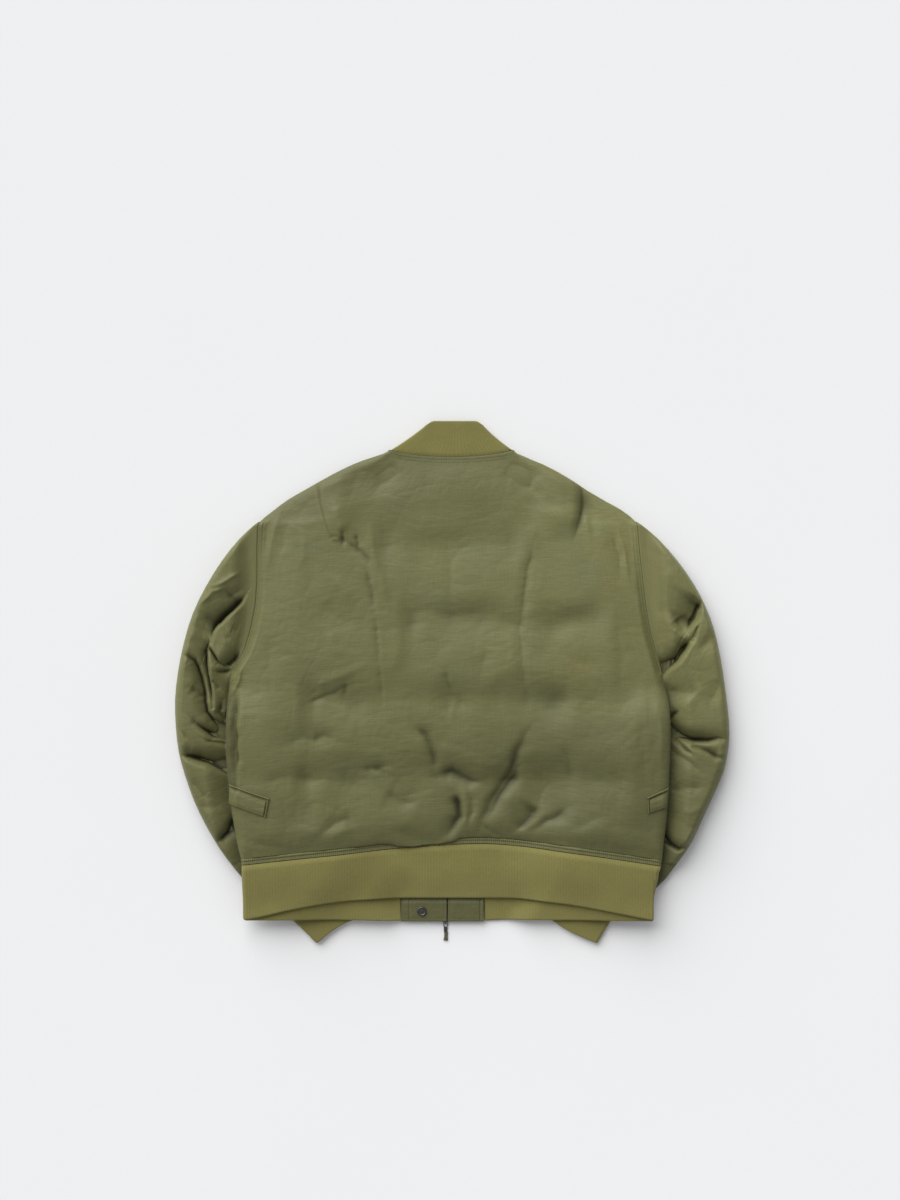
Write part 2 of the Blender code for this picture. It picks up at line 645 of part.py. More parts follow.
def collar_point(layer, value, share):
    """A point of the collar's centre surface, neck seam to top edge."""
    left = -NECK_HALF + 2.5 + share * 51.0
    right = NECK_HALF - 2.5 - share * 42.5
    seam_gap = SEAM * (1.0 - share)
    low_z = 3.6 - 1.0 * share
    high_z = 11.0 - 2.3 * share
    radius = 0.5 * (high_z - low_z)
    if layer == "back":
        x = left + value * (right - left)
        corner = max(0.0, abs(2.0 * value - 1.0) - 0.8) / 0.2
        seam = 319.0 + 8.0 * (2.0 * value - 1.0) ** 2 + 2.0 * corner ** 2
        top = 371.3 - 2.2 * corner ** 2
        return x, seam + seam_gap + share * (top - seam - seam_gap), high_z
    if layer == "turn":
        side = -1.0 if value < 2.0 else 1.0
        turn = value if side < 0 else value - 2.0
        base = left if side < 0 else right
        x = base + side * radius * np.sin(np.pi * turn)
        y = 329.0 + seam_gap + share * (369.1 - 329.0 - seam_gap)
        z = low_z + radius - radius * np.cos(np.pi * turn)
        return x, y, z
    side = -1.0 if value < 0 else 1.0
    part = abs(value)
    base = left if side < 0 else right
    centre = ZIP_X + side * 4.0
    x = base + part * (centre - base)
    drop = np.sin(0.5 * np.pi * part)
    seam = 329.0 - 65.5 * drop
    top = 369.1 - 59.0 * drop
    return x, seam + share * (top - seam), low_z


def build_collar(made):
    stations = [("front", -part) for part in (1.0, 0.8, 0.6, 0.4, 0.2, 0.001)]
    stations += [("turn", turn) for turn in (0.15, 0.32, 0.5, 0.68, 0.85)]
    stations += [("back", part) for part in np.linspace(0.0, 1.0, 17)]
    stations += [("turn", 2.0 + turn) for turn in (0.85, 0.68, 0.5, 0.32, 0.15)]
    stations += [("front", part) for part in (0.001, 0.2, 0.4, 0.6, 0.8, 1.0)]
    rows = []
    for share in (0.0, 0.2, 0.45, 0.7, 0.88, 1.0):
        rows.append([collar_point(layer, value, share) for layer, value in stations])
    band("collar_rib", np.array(rows), RIB_WALL, made)


def plain_slab(name, x_list, y_list, bottom, top, made):
    x, y = np.meshgrid(np.array(x_list, float), np.array(y_list, float))
    return slab(name, x, y, top(x, y), bottom(x, y), made)


def tab_base(y):
    """Height of the hem tabs' underside, raised over the zip slider."""
    return 3.3 + 2.2 * ramp((-307.0 - y) / 7.0)


def build_tabs(made):
    rows = [-339.8, -334, -314.2, -310.5, -306, -290, -268.2]
    for name, columns in (("hem_tab_left", [-70.9, -60, -50, -40, -30, -18, -7.2]),
                          ("hem_tab_right", [-5.8, 6, 18, 30, 45.3])):
        plain_slab(name, columns, rows, lambda x, y: tab_base(y),
                   lambda x, y: tab_base(y) + 2.6, made)


def build_welt(name, corners, made):
    """A welt that lies on the back, made from the back's points moved out."""
    one, two, three, four = [np.array(corner, float) for corner in corners]
    across, down = np.linspace(0, 1, 8)[None, :, None], np.linspace(0, 1, 5)[:, None, None]
    spots = (four * (1 - across) + three * across) * (1 - down)
    spots = spots + (one * (1 - across) + two * across) * down
    x, y = spots[:, :, 0], spots[:, :, 1]
    base = back_top(x, y) + 1.6 * ramp((16.0 - edge_distance(x, y)) / 10.0)
    slab(name, x, y, base + 3.2, base + 1.0, made)


def build_zip(tape, coil, metal):
    rows = list(np.linspace(-340.0, 300.0, 17))
    for name, columns in (("zip_tape_left", [ZIP_X - 11.7, ZIP_X - 7.0, ZIP_X - 2.9]),
                          ("zip_tape_right", [ZIP_X + 2.9, ZIP_X + 7.0, ZIP_X + 11.7])):
        low = [-330.4] + [row for row in rows if -330.0 < row < 250.0] + [258.0]
        plain_slab(name, columns, low, lambda x, y: 0.0 * x + 1.0, lambda x, y: 0.0 * x + 2.2, tape)
    chain_rows = [-330.4] + [row for row in rows if -330.0 < row < 290.0] + [304.0]
    plain_slab("zip_chain", [ZIP_X - 2.6, ZIP_X, ZIP_X + 2.6], chain_rows,
               lambda x, y: 0.0 * x + 0.5, lambda x, y: 0.0 * x + 2.9, coil)
    return metal


def finish_smooth(thing, name, made):
    thing.name = name
    thing.data.name = name
    thing.data.materials.clear()
    thing.data.materials.append(made)
    thing.data.polygons.foreach_set("use_smooth", [True] * len(thing.data.polygons))
    for group in list(thing.users_collection):
        group.objects.unlink(thing)
    GROUP.objects.link(thing)
    return thing


def apply_all(thing):
    bpy.context.view_layer.update()
    graph = bpy.context.evaluated_depsgraph_get()
    mesh = bpy.data.meshes.new_from_object(thing.evaluated_get(graph))
    thing.modifiers.clear()
    if thing.type == "MESH":
        thing.data = mesh
        return thing
    solid = bpy.data.objects.new(thing.name, mesh)
    solid.matrix_world = thing.matrix_world
    bpy.context.scene.collection.objects.link(solid)
    bpy.data.objects.remove(thing, do_unlink=True)
    return solid


def box(low, high, rounding):
    low, high = np.array(low) * SCALE, np.array(high) * SCALE
    bpy.ops.mesh.primitive_cube_add(size=1.0, location=tuple(0.5 * (low + high)))
    thing = bpy.context.object
    thing.scale = tuple(high - low)
    bpy.ops.object.transform_apply(location=True, rotation=True, scale=True)
    if rounding:
        soften = thing.modifiers.new("soften", "BEVEL")
        soften.width = rounding * SCALE
        soften.segments = 2
    return apply_all(thing)


def wire(spots, radius, closed):
    """A round wire through the spots, capped when it is open."""
    curve = bpy.data.curves.new("wire", "CURVE")
    curve.dimensions = "3D"
    curve.bevel_depth = radius * SCALE
    curve.bevel_resolution = 1
    curve.use_fill_caps = not closed
    line = curve.splines.new("POLY")
    line.points.add(len(spots) - 1)
    for point, spot in zip(line.points, spots):
        point.co = (*[value * SCALE for value in spot], 1.0)
    line.use_cyclic_u = closed
    thing = bpy.data.objects.new("wire", curve)
    bpy.context.scene.collection.objects.link(thing)
    return apply_all(thing)


def joined(first, others):
    for other in others:
        cut = first.modifiers.new("join", "BOOLEAN")
        cut.operation = "UNION"
        cut.solver = "EXACT"
        cut.object = other
        first = apply_all(first)
        bpy.data.objects.remove(other, do_unlink=True)
    return first


PULL_X = -9.0
PULL_Y = -342.6
PULL_Z = 2.4


def build_slider(metal):
    """The zip slider with the small arch that its pull hangs in."""
    body = box((PULL_X - 4.6, -341.0, 0.2), (PULL_X + 4.6, -331.0, 4.6), 0.8)
    spots = [(PULL_X, -339.5, 4.0)]
    for turn in np.linspace(0.0, np.pi, 7):
        spots.append((PULL_X, -342.6 - 1.6 * np.sin(turn), PULL_Z + 1.6 * np.cos(turn)))
    spots.append((PULL_X, -339.5, 0.8))
    arch = wire(spots, 0.5, False)
    finish_smooth(joined(body, [arch]), "zip_slider", metal)


def build_pull(metal, cloth):
    """The pull tab: a wire ring, a flat plate and a woven tail."""
    low = 1.3
    spots = [(PULL_X - 2.6, PULL_Y, PULL_Z), (PULL_X + 2.6, PULL_Y, PULL_Z),
             (PULL_X + 3.0, PULL_Y - 0.9, PULL_Z - 0.2), (PULL_X + 2.2, PULL_Y - 5.6, low),
             (PULL_X - 2.2, PULL_Y - 5.6, low), (PULL_X - 3.0, PULL_Y - 0.9, PULL_Z - 0.2)]
    ring = wire(spots, 0.62, True)
    plate = box((PULL_X - 2.5, PULL_Y - 12.4, low - 0.9), (PULL_X + 2.5, PULL_Y - 5.3, low + 0.9), 0.5)
    finish_smooth(joined(plate, [ring]), "zip_pull", metal)
    tail = box((PULL_X - 3.4, -367.6, low - 1.0), (PULL_X + 3.4, PULL_Y - 12.7, low + 1.0), 0.6)
    finish_smooth(tail, "zip_pull_tail", cloth)


def build_snap(metal):
    base = float(tab_base(np.array(-325.2))) + 2.6
    bpy.ops.mesh.primitive_cylinder_add(
        vertices=24, radius=6.65 * SCALE, depth=1.8 * SCALE,
        location=(-42.6 * SCALE, -325.2 * SCALE, (base + 0.3 + 0.9) * SCALE))
    disc = bpy.context.object
    soften = disc.modifiers.new("soften", "BEVEL")
    soften.width = 0.5 * SCALE
    soften.segments = 2
    finish_smooth(apply_all(disc), "hem_snap", metal)


GROUP = fresh_scene()


def main():
    nylon = material("olive_nylon", (0.155, 0.155, 0.072), 0.42)
    rib = material("olive_rib_knit", (0.185, 0.170, 0.066), 0.85)
    woven = material("olive_woven_tape", (0.10, 0.10, 0.05), 0.7)
    coil = material("dark_zip_coil", (0.03, 0.03, 0.022), 0.5)
    metal = material("dark_metal", (0.045, 0.045, 0.045), 0.35, 0.9)
    build_back(nylon)
    for sign in (1, -1):
        build_front(nylon, sign)
        build_sleeve(nylon, sign)
        build_cuff(rib, sign)
    build_hem(rib, nylon)
    build_collar(rib)
    build_tabs(nylon)
    build_welt("pocket_welt_left", [(-309.5, -146), (-258, -163), (-262, -188), (-311.5, -171)], nylon)
    build_welt("pocket_welt_right", [(280, -165), (306, -153), (303.5, -177), (280.5, -186)], nylon)
    build_zip(woven, coil, metal)
    build_slider(metal)
    build_pull(metal, woven)
    build_snap(metal)


main()
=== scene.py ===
"""The looks of the bomber jacket, laid flat with its back up.

Sizes are in millimetres until the meshes are made: +X is the jacket's right side as it lies, +Y runs
to the collar, +Z up. A sign of 1 is the left side and -1 the right, and it points inward along X.
"""
import bpy
import numpy as np
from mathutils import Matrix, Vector


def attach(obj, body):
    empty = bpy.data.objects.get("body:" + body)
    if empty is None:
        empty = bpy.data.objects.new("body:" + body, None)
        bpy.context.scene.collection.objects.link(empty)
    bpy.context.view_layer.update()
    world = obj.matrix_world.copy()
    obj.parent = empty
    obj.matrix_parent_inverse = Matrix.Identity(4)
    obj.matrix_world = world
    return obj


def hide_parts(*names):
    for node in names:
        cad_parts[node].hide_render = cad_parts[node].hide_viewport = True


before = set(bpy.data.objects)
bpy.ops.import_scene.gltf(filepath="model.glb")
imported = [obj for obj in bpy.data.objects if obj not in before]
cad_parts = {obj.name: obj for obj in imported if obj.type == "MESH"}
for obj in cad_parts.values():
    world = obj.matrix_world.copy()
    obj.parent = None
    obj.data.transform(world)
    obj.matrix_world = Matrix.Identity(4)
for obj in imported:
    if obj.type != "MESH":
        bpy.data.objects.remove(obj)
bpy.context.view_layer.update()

SCALE = 0.001
SIDES = {1: "left", -1: "right"}
# walls of the body's layers and of the rib, the gap between front and back, and that at a seam
FRONT_WALL = 8
BACK_WALL = 13
SEAM_WALL = 9
RIB_WALL = 4.4
LAYER_GAP = 2.5
SEAM = 0.3
# a sleeve's walls, the gap between them and its extra loft outside the body
SLEEVE_WALL = 8
SLEEVE_GAP = 2
SLEEVE_PUFF = 15.5
# how high the body lies over the folded sleeves, and over the cuffs with their two layers of knit
LIFT = 2 * SLEEVE_WALL + SLEEVE_GAP + 1.5
CUFF_STACK = 9.4
CUFF_LIFT = CUFF_STACK + 1.3
# radii of the padded edges, and the ribs of the knit
EDGE_ROUND = 16
SLEEVE_ROUND = 15
RIB_PITCH = 2.1
RIB_DEPTH = 0.2
# places on the body, the reach of the climb from the hem, and the way the lower sleeves run
ZIP_X = -6.5
UNDERARM_Y = 9
TIP_Y = 228
NECK_HALF = 86.6
NECK_CORNER_Y = 329
COLLAR_TOP = 371.3
COLLAR_CORNER_Y = 369.1
HEM_FALL = 34
ARM_WAY = (0.749, -0.662)

# rows and columns of each cloth's grid, and the steps along the knit, the binding and the welts
BACK_GRID = (254, 334)
FRONT_GRID = (110, 70)
SLEEVE_GRID = (392, 182)
UNDER_SLEEVE_GRID = (116, 62)
TAB_GRID = (90, 86)
TAPE_GRID = (240, 24)
TAIL_GRID = (60, 26)
KNIT_STEP = 0.6
BINDING_STEP = 1.3
WELT_STEPS = (0.42, 0.55)

# y, left x, right x of the body's outline, from the hem seam up to the neck
BODY_SIDES = [
    (-252, -296, 300), (-225, -303, 303), (-190, -309, 307), (-152, -314, 310), (-110, -318, 311),
    (-68, -319, 310), (-25, -317, 306), (9, -315, 298), (25, -307, 294), (46, -294, 288), (75, -285, 280),
    (110, -278, 274), (145, -275.5, 270), (188, -275.5, 265), (228, -274, 262), (245, -252, 241),
    (259, -234, 214), (273, -209, 190), (283, -192, 177), (302, -157, 145), (316, -126, 115),
    (322, -104, 95), (327, -86.6, 86.6)]
BODY_COLUMN = {1: 1, -1: 2}
# the back's hem seam: its highest point, then drop and half length to each side
HEM_PEAK_X, HEM_PEAK_Y = 40, -219
HEM_LEFT_DROP, HEM_LEFT_RUN = 30, 336
HEM_RIGHT_DROP, HEM_RIGHT_RUN = 33, 261
# x, y of the back rib's lower edge, and of the front rib's
BACK_RIB_END = [
    (-330, -337), (-295, -336), (-214, -317), (-158, -309), (-100, -306), (98, -306), (183, -316),
    (254, -329), (290, -337), (330, -338)]
FRONT_RIB_END = [
    (-330, -336), (-295, -336), (-171, -336), (-71, -339), (45, -340), (70, -337), (149, -337), (290, -337),
    (330, -338)]
# outer x, outer y, inner x, inner y of each section of a sleeve, armhole to cuff
LEFT_SLEEVE = [
    (-274, 228, -315, 9), (-301, 205, -316.7, 2), (-326, 174, -318.1, -5), (-349, 137, -318.9, -12),
    (-368, 99, -319.1, -19), (-380.5, 57, -318.6, -28), (-389, 15, -315, -38), (-393.4, -25, -309.5, -49),
    (-392, -62, -301, -65), (-388, -99, -288, -84), (-379, -131, -272.5, -107), (-366.5, -167, -254, -133),
    (-351, -199.5, -233, -163), (-331, -234, -210, -192), (-308, -266, -189, -222),
    (-282.5, -295, -173, -245), (-254, -317.5, -162, -263)]
RIGHT_SLEEVE = [
    (262, 228, 298, 9), (293, 204, 300.8, 3), (321, 172, 302.6, -3), (344, 139, 304.2, -9),
    (359, 110, 305.7, -15), (371, 80, 307.2, -22), (381, 36, 307.7, -31), (388, -11, 304.5, -42),
    (393, -53, 298, -57), (393.4, -84, 288, -77), (386, -124, 272, -102), (370, -157, 252.5, -131),
    (353, -192, 229.5, -163), (339, -226, 207, -195), (319.5, -256, 192, -226), (290.5, -296, 181, -247),
    (252.8, -304.6, 174.7, -262)]
SLEEVES = {1: LEFT_SLEEVE, -1: RIGHT_SLEEVE}
# x, y of the wrist edge's outer and inner end, and how far the edge is bent outward
CUFF_ENDS = {1: ((-193, -371.3), (-113.6, -329)), -1: ((206.5, -371.3), (126.4, -327.5))}
CUFF_BEND = {1: -6.5, -1: 3.6}
# x, y of the hidden inner edge that the front rests on, sleeve then cuff
RESTS = {
    1: [(-315, 40), (-319, -19), (-315, -38), (-301, -65), (-272, -107), (-233, -163), (-189, -222),
        (-162, -263), (-114, -329), (-100, -345)],
    -1: [(298, 40), (306, -27), (304, -39), (288, -77), (252, -131), (207, -195), (181, -247),
         (175, -262), (126, -327), (113, -345)]}
# y of each cross seam, ends of its stretch, depth
QUILT = [(195, -105, 92, 5), (84.5, -66, 216, 7.6), (-25, -206, 258, 7.8), (-135.5, -214, 244, 6.6)]
# y, x of the rolled edge of each action pleat
PLEATS = {
    1: [(196, -170), (205, -172), (224, -180), (252, -187.5), (268, -190), (285, -192)],
    -1: [(200, 171), (212, 175), (231, 180), (248, 183), (262, 184), (280, 183.5)]}
# distance in from the armhole, half width and height of the ridges that its sewing leaves
SEAM_RIDGES = [(1.1, 0.8, 0.4), (2.6, 0.9, -0.15), (4.5, 1.3, 0.6), (6.6, 0.9, -0.15), (8.8, 1.6, 0.4)]
# pitch, length and radius of a stitch
STITCH_PITCH, STITCH_LENGTH, STITCH_RADIUS = 3.4, 2.3, 0.32
# angle, stretch, size and depth of the crossing sets of small creases
CRUMPLES = [(8, 3.2, 13, 0.30), (-24, 2.6, 17, 0.28), (72, 2.8, 19, 0.22), (40, 2.2, 9, 0.13),
            (2, 3.6, 6, 0.10)]
# the creases: line of spots, half widths to its left and right, depth, and a step up on the left
BACK_FOLDS = [
    ([(-55, -59), (-38, -73), (-30, -90), (-26, -107), (-23, -129)], 12, 6, 4.2, 0),
    ([(-21, -131), (-10, -127), (0, -124), (13, -131), (27, -138), (47, -143)], 7, 10, 4.6, 0),
    ([(106, -69), (95, -87), (88, -99), (85, -117), (78, -133), (65, -148), (55, -164), (47, -181),
     (43, -195), (38, -212)], 12, 5, 4.6, 0),
    ([(94, -119), (84, -136), (72, -151), (62, -168), (53, -184)], 10, 3.2, 3, 0),
    ([(3, -155), (10, -171), (11, -188), (1, -202), (-14, -214)], 5, 10, 6.2, 0),
    ([(23, -153), (27, -167), (27, -182), (23, -201)], 5, 2.8, 2.4, 0),
    ([(17, -157), (18, -181), (16, -204)], 2.6, 2.6, -1.3, 0),
    ([(121, -171), (112, -187), (99, -201), (85, -212)], 6, 18, 6, 0),
    ([(163, -175), (145, -190), (124, -201), (101, -212)], 10, 7, 3.4, 0),
    ([(45, -201), (58, -211), (71, -218)], 3, 4, 2.4, 0), ([(212, -186), (165, -207)], 7, 10, 1.2, 0),
    ([(-97, -155), (-72, -167), (-47, -175)], 12, 14, 2.6, 0),
    ([(-189, -217), (-165, -198), (-149, -191), (-129, -207)], 8, 9, 2.4, 0),
    ([(-126, -124), (-106, -121), (-87, -130)], 8, 7, 2, 0),
    ([(-236, -84), (-207, -76), (-172, -86)], 12, 9, 1.8, 0),
    ([(-119, -130), (-93, -122), (-67, -133)], 10, 10, -2, 0),
    ([(-111, -128), (-98, -117), (-85, -118)], 8, 6, 1.8, 0),
    ([(157, -86), (165, -112), (167, -144)], 9, 9, 1.6, 0),
    ([(-198, -78), (-177, -75), (-161, -81)], 9, 7, 1.8, 0),
    ([(-282, -222), (-256, -229), (-228, -233)], 6, 8, 1.6, 0),
    ([(-77, -207), (-46, -216), (-9, -217)], 7, 9, 2.6, 0),
    ([(-214, -207), (-166, -212), (-130, -201)], 10, 10, -1.4, 0),
    ([(-271, -138), (-224, -130), (-187, -138)], 9, 12, 1.4, 0),
    ([(-151, 202), (-131, 188), (-119, 176), (-114, 160)], 3.5, 6, 2.2, 0.6),
    ([(-173, 206), (-158, 205)], 3, 2, 1.2, 0), ([(-154, 216), (-155, 194)], 3, 2.5, 2.6, 0),
    ([(-135, 209), (-133, 189)], 3, 2.5, 2.2, 0), ([(-164, 252), (-159, 226), (-154, 210)], 9, 9, -1.6, 0),
    ([(-121, 161), (-112, 130), (-108, 101)], 3.2, 5, 1.7, 0.5),
    ([(-106, 95), (-103, 51), (-101, 19)], 3, 5, 1.3, 0.5),
    ([(-102, 25), (-100, 1), (-99, -24)], 2.6, 4, 1.2, 0.4),
    ([(-116, 229), (-110, 187), (-98, 140), (-89, 101)], 7, 9, -1.3, 0),
    ([(115, 202), (104, 156), (96, 103), (94, 76)], 8, 7, 1.6, -1),
    ([(94, 76), (97, 25), (104, -23)], 8, 7, 1.1, -0.5),
    ([(114, 229), (117, 198), (107, 161)], 8, 9, -0.8, 0), ([(-6, 195), (-2, 140), (0, 88)], 9, 9, 0.8, 0),
    ([(-9, 19), (-6, 1), (1, -15)], 4, 6, 1.8, 0), ([(0, -15), (2, -54)], 6, 6, -0.9, 0),
    ([(-206, -28), (-177, -16), (-148, -3)], 4, 7, 1.5, 0.6), ([(-149, -1), (-151, -22)], 4, 5, 1.6, 0),
    ([(-198, -4), (-161, 8), (-122, 25)], 9, 7, -1.3, 0),
    ([(-72, 77), (-77, 40), (-88, 9)], 11, 9, -0.7, 0), ([(80, 312), (99, 294), (114, 268)], 8, 15, 3.2, 0),
    ([(117, 292), (133, 274), (138, 250)], 9, 9, -1, 0),
    ([(-77, 313), (-98, 287), (-114, 261)], 12, 12, 1.8, 0), ([(-161, 292), (-151, 261)], 12, 10, -0.9, 0),
    ([(236, 214), (244, 185), (249, 140)], 4, 3, -1.2, 0),
    ([(228, 208), (236, 177), (238, 151)], 3, 5, 1, 0), ([(186, 244), (196, 206)], 5, 4, -0.7, 0),
    ([(196, 235), (202, 203)], 4, 4, 0.4, 0), ([(207, 229), (220, 187)], 8, 8, -0.8, 0),
    ([(-244, 237), (-256, 198), (-262, 161)], 6, 5, -1, 0), ([(-232, 229), (-244, 177)], 6, 7, 0.8, 0),
    ([(-206, 208), (-214, 161)], 8, 8, -0.7, 0), ([(-256, 72), (-258, 19), (-250, -28)], 9, 10, 0.9, 0),
    ([(-224, 203), (-203, 166), (-193, 114)], 12, 12, 0.7, 0),
    ([(-166, 151), (-151, 130), (-140, 114)], 8, 7, -1.2, 0),
    ([(-174, 77), (-166, 51), (-151, 34)], 8, 8, -1.1, 0),
    ([(-182, 114), (-161, 93), (-135, 82)], 14, 16, 1.6, 0),
    ([(-161, -33), (-140, -60), (-137, -86)], 9, 9, -1, 0),
    ([(-77, 101), (-35, 103), (7, 95), (62, 101)], 20, 8, 1.2, 0),
    ([(144, 51), (175, 30), (217, 25)], 14, 10, 0.9, 0), ([(233, 93), (238, 30), (235, -33)], 9, 9, 0.8, 0),
    ([(49, 51), (39, 9), (60, -18)], 12, 12, 1.2, 0),
    ([(-303, -8), (-303, -60), (-302, -100), (-302, -150)], 3, 13, 7, 0.6),
    ([(-318, -8), (-311, 5), (-302, 21)], 2.5, 2.5, -1.8, 0),
    ([(-317, -22), (-306, -8), (-298, 9), (-296, 27)], 2.5, 2.5, -1.8, 0),
    ([(283, -12), (293, -60), (295, -117)], 7, 5, -1, 0),
    ([(264, -49), (270, -102), (268, -144)], 8, 8, 0.9, 0)]
LEFT_FOLDS = [
    ([(-291, 126), (-300, 114), (-311, 103), (-321, 93), (-331, 83), (-338, 72), (-342, 59)], 3.5, 19, 15,
     3), ([(-297, 134), (-308, 127), (-322, 121)], 6, 12, 4, 0),
    ([(-344, 56), (-346, 43), (-346, 25), (-344, 4), (-341, -13), (-338, -35)], 3, 8, 12, 1),
    ([(-344, 53), (-338, 45), (-332, 36), (-328, 29), (-322, 25)], 2, 7, 8, 3.5),
    ([(-325, 25), (-315, 26), (-308, 33), (-298, 46)], 6, 3, 6.5, 0),
    ([(-334, 16), (-324, 16), (-312, 19)], 3, 3.5, 4.5, 0),
    ([(-341, 5), (-335, -2), (-327, -11)], 3, 4, 3.4, 0),
    ([(-382, 42), (-371, 38), (-362, 31), (-358, 22), (-354, 8), (-351, -11), (-349, -28), (-345, -42),
     (-338, -52), (-329, -59), (-317, -63), (-260, -69)], 3.5, 9, 12.5, 0),
    ([(-369, -6), (-359, -13), (-351, -23)], 5, 7, 5, 0),
    ([(-325, -25), (-329, -42), (-322, -52), (-305, -36)], 4, 4, 5, 0),
    ([(-362, -56), (-354, -63), (-346, -69), (-338, -75), (-328, -77), (-311, -80), (-257, -86)], 9, 3.5, 15,
     0), ([(-352, -77), (-344, -82), (-335, -84), (-317, -87), (-300, -90)], 2.5, 3.5, 4, 0),
    ([(-389, -103), (-371, -104), (-356, -109), (-342, -114), (-328, -120), (-311, -127), (-248, -153)], 14,
     4, 17, 0), ([(-388, -56), (-381, -69), (-372, -83)], 3, 3, 2.4, 0),
    ([(-396, -59), (-385, -84), (-371, -96)], 5, 6, -2, 0),
    ([(-373, -138), (-361, -146), (-346, -163), (-335, -161)], 7, 6, 2.6, 0),
    ([(-356, -175), (-339, -174), (-325, -171)], 6, 5, 1.6, 0),
    ([(-339, -234), (-325, -221), (-311, -202), (-300, -184)], 5, 9, 8, 0),
    ([(-300, 157), (-314, 147), (-325, 141), (-341, 136)], 3.5, 3.5, -2.4, 0),
    ([(-320, 136), (-337, 129), (-346, 121), (-358, 110)], 4, 4, -2.2, 0),
    ([(-322, 174), (-339, 146), (-352, 123)], 10, 12, 1.8, 0),
    ([(-371, 60), (-375, 39), (-379, 15)], 9, 9, -2, 0),
    ([(-356, 100), (-362, 75), (-371, 53)], 9, 10, -2.4, 0), ([(-311, 77), (-300, 72)], 7, 7, 2, 0),
    ([(-320, 63), (-312, 66)], 5, 5, 1.6, 0)]
RIGHT_FOLDS = [
    ([(355, 117), (346, 103), (338, 87), (331, 72)], 5, 25, 16, 1),
    ([(315, 90), (322, 80), (331, 70)], 10, 6, 5, 0),
    ([(337, 60), (327, 45), (318, 33), (308, 23), (298, 13), (291, 6)], 4, 10, 19, 3),
    ([(348, 82), (344, 69), (338, 59)], 2.4, 2.4, 3.2, 0),
    ([(376, 70), (362, 59), (352, 50), (344, 45)], 12, 13, 3.5, 0),
    ([(368, 92), (359, 72), (352, 58)], 8, 8, -1.4, 0),
    ([(351, -6), (337, -13), (322, -13), (300, -11)], 18, 13, 4.4, 0),
    ([(356, -1), (341, -18), (329, -33), (318, -50)], 9, 9, -2.2, 0),
    ([(381, 4), (371, -13), (362, -32)], 12, 10, 2.6, 0),
    ([(300, -53), (311, -48), (322, -39)], 5, 4, 5, 0),
    ([(260, -39), (308, -69), (318, -73), (328, -77), (342, -80), (361, -80), (376, -78), (388, -79)], 10, 5,
     16, 1), ([(314, -73), (322, -86), (329, -94), (341, -103)], 3, 4, 5, 0),
    ([(334, -89), (351, -93), (362, -97), (372, -104), (388, -109)], 7, 3, 6.5, 0),
    ([(308, -93), (322, -103), (334, -111), (351, -126)], 5, 6, 2.6, 0),
    ([(373, -102), (385, -100), (393, -99)], 4, 4, -2.2, 0),
    ([(385, -121), (375, -136), (368, -153)], 4, 5, 2.4, 0),
    ([(308, -151), (331, -148), (356, -146)], 9, 8, 2.4, 0),
    ([(320, -178), (337, -182), (354, -175)], 8, 8, -1.4, 0),
    ([(285, -204), (302, -222), (310, -229), (320, -234), (331, -234), (342, -226)], 7, 3, 9, 1.5),
    ([(327, -228), (335, -217), (345, -205)], 4, 4, -2, 0),
    ([(293, 117), (297, 86), (293, 53)], 9, 8, 1.8, 0),
    ([(302, 165), (320, 134), (331, 111)], 12, 12, -1.6, 0),
    ([(344, 138), (356, 117), (365, 94)], 7, 7, -1.2, 0), ([(312, 76), (322, 67), (329, 60)], 3, 3, -2, 0)]
SLEEVE_FOLDS = {1: LEFT_FOLDS, -1: RIGHT_FOLDS}
# the hem turns round at this x, on its path from one tab to the other: layer, first and last x
HEM_TURN_X = 284
HEM_RUN = [("front", (-72.6, -HEM_TURN_X)), ("left", (0, 1)), ("back", (-HEM_TURN_X, HEM_TURN_X)),
           ("right", (0, 1)), ("front", (HEM_TURN_X, 45.9))]
# shares of the binding's width at which its face is shaped
BINDING_SHARES = [0, 0.08, 0.18, 0.28, 0.38, 0.47, 0.55, 0.63, 0.74, 0.86, 0.94, 1]
# first and last x of each hem tab, the x of the groove where its strip is sewn on, its flat size
TABS = {"left": (-72.2, -7.2, -60.5, (0.064, 0.072)), "right": (-5.8, 45.3, 40, (0.051, 0.072))}
TAB_LOW, TAB_HIGH = -339.8, -268.2
# corners of each pocket welt: outer top, inner top, inner bottom, outer bottom; then its flat size
WELTS = {"left": ([(-313, -142), (-256, -161), (-261, -188), (-314.5, -170)], (0.054, 0.026)),
         "right": ([(304, -147), (274, -160), (275, -183), (302, -174)], (0.028, 0.024))}
# the zip: ends of tapes and coil, reach of a tape from the middle, pitch of the coil
ZIP_LOW, TAPE_HIGH, COIL_HIGH = -330.4, 258, 304
TAPE_NEAR, TAPE_FAR = 2.9, 11.7
COIL_PITCH = 2.2
# across and up of one coil loop's line
COIL_LOOP = [(2.5, 0.9), (1.2, 0.75), (-0.9, 1), (-1.3, 1.7), (-0.9, 2.4), (1.2, 2.65), (2.5, 2.5)]
SNAP_X, SNAP_Y = -42.6, -325.2
# radius and height of the snap's cap, from its rim over a rolled edge into a shallow dish
SNAP_OUTLINE = [
    (5.9, 0), (6.4, 0.15), (6.62, 0.6), (6.55, 1.1), (6.2, 1.55), (5.7, 1.78), (5.2, 1.8),
    (4.8, 1.66), (4.5, 1.42), (4.1, 1.22), (3.2, 1.16), (2.1, 1.2), (1.8, 1.34), (1.5, 1.38),
    (1.1, 1.3), (0.5, 1.26), (0.05, 1.26)]
PULL_X, PULL_Y = -9, -342.6
TAIL_END_Y = -367.6

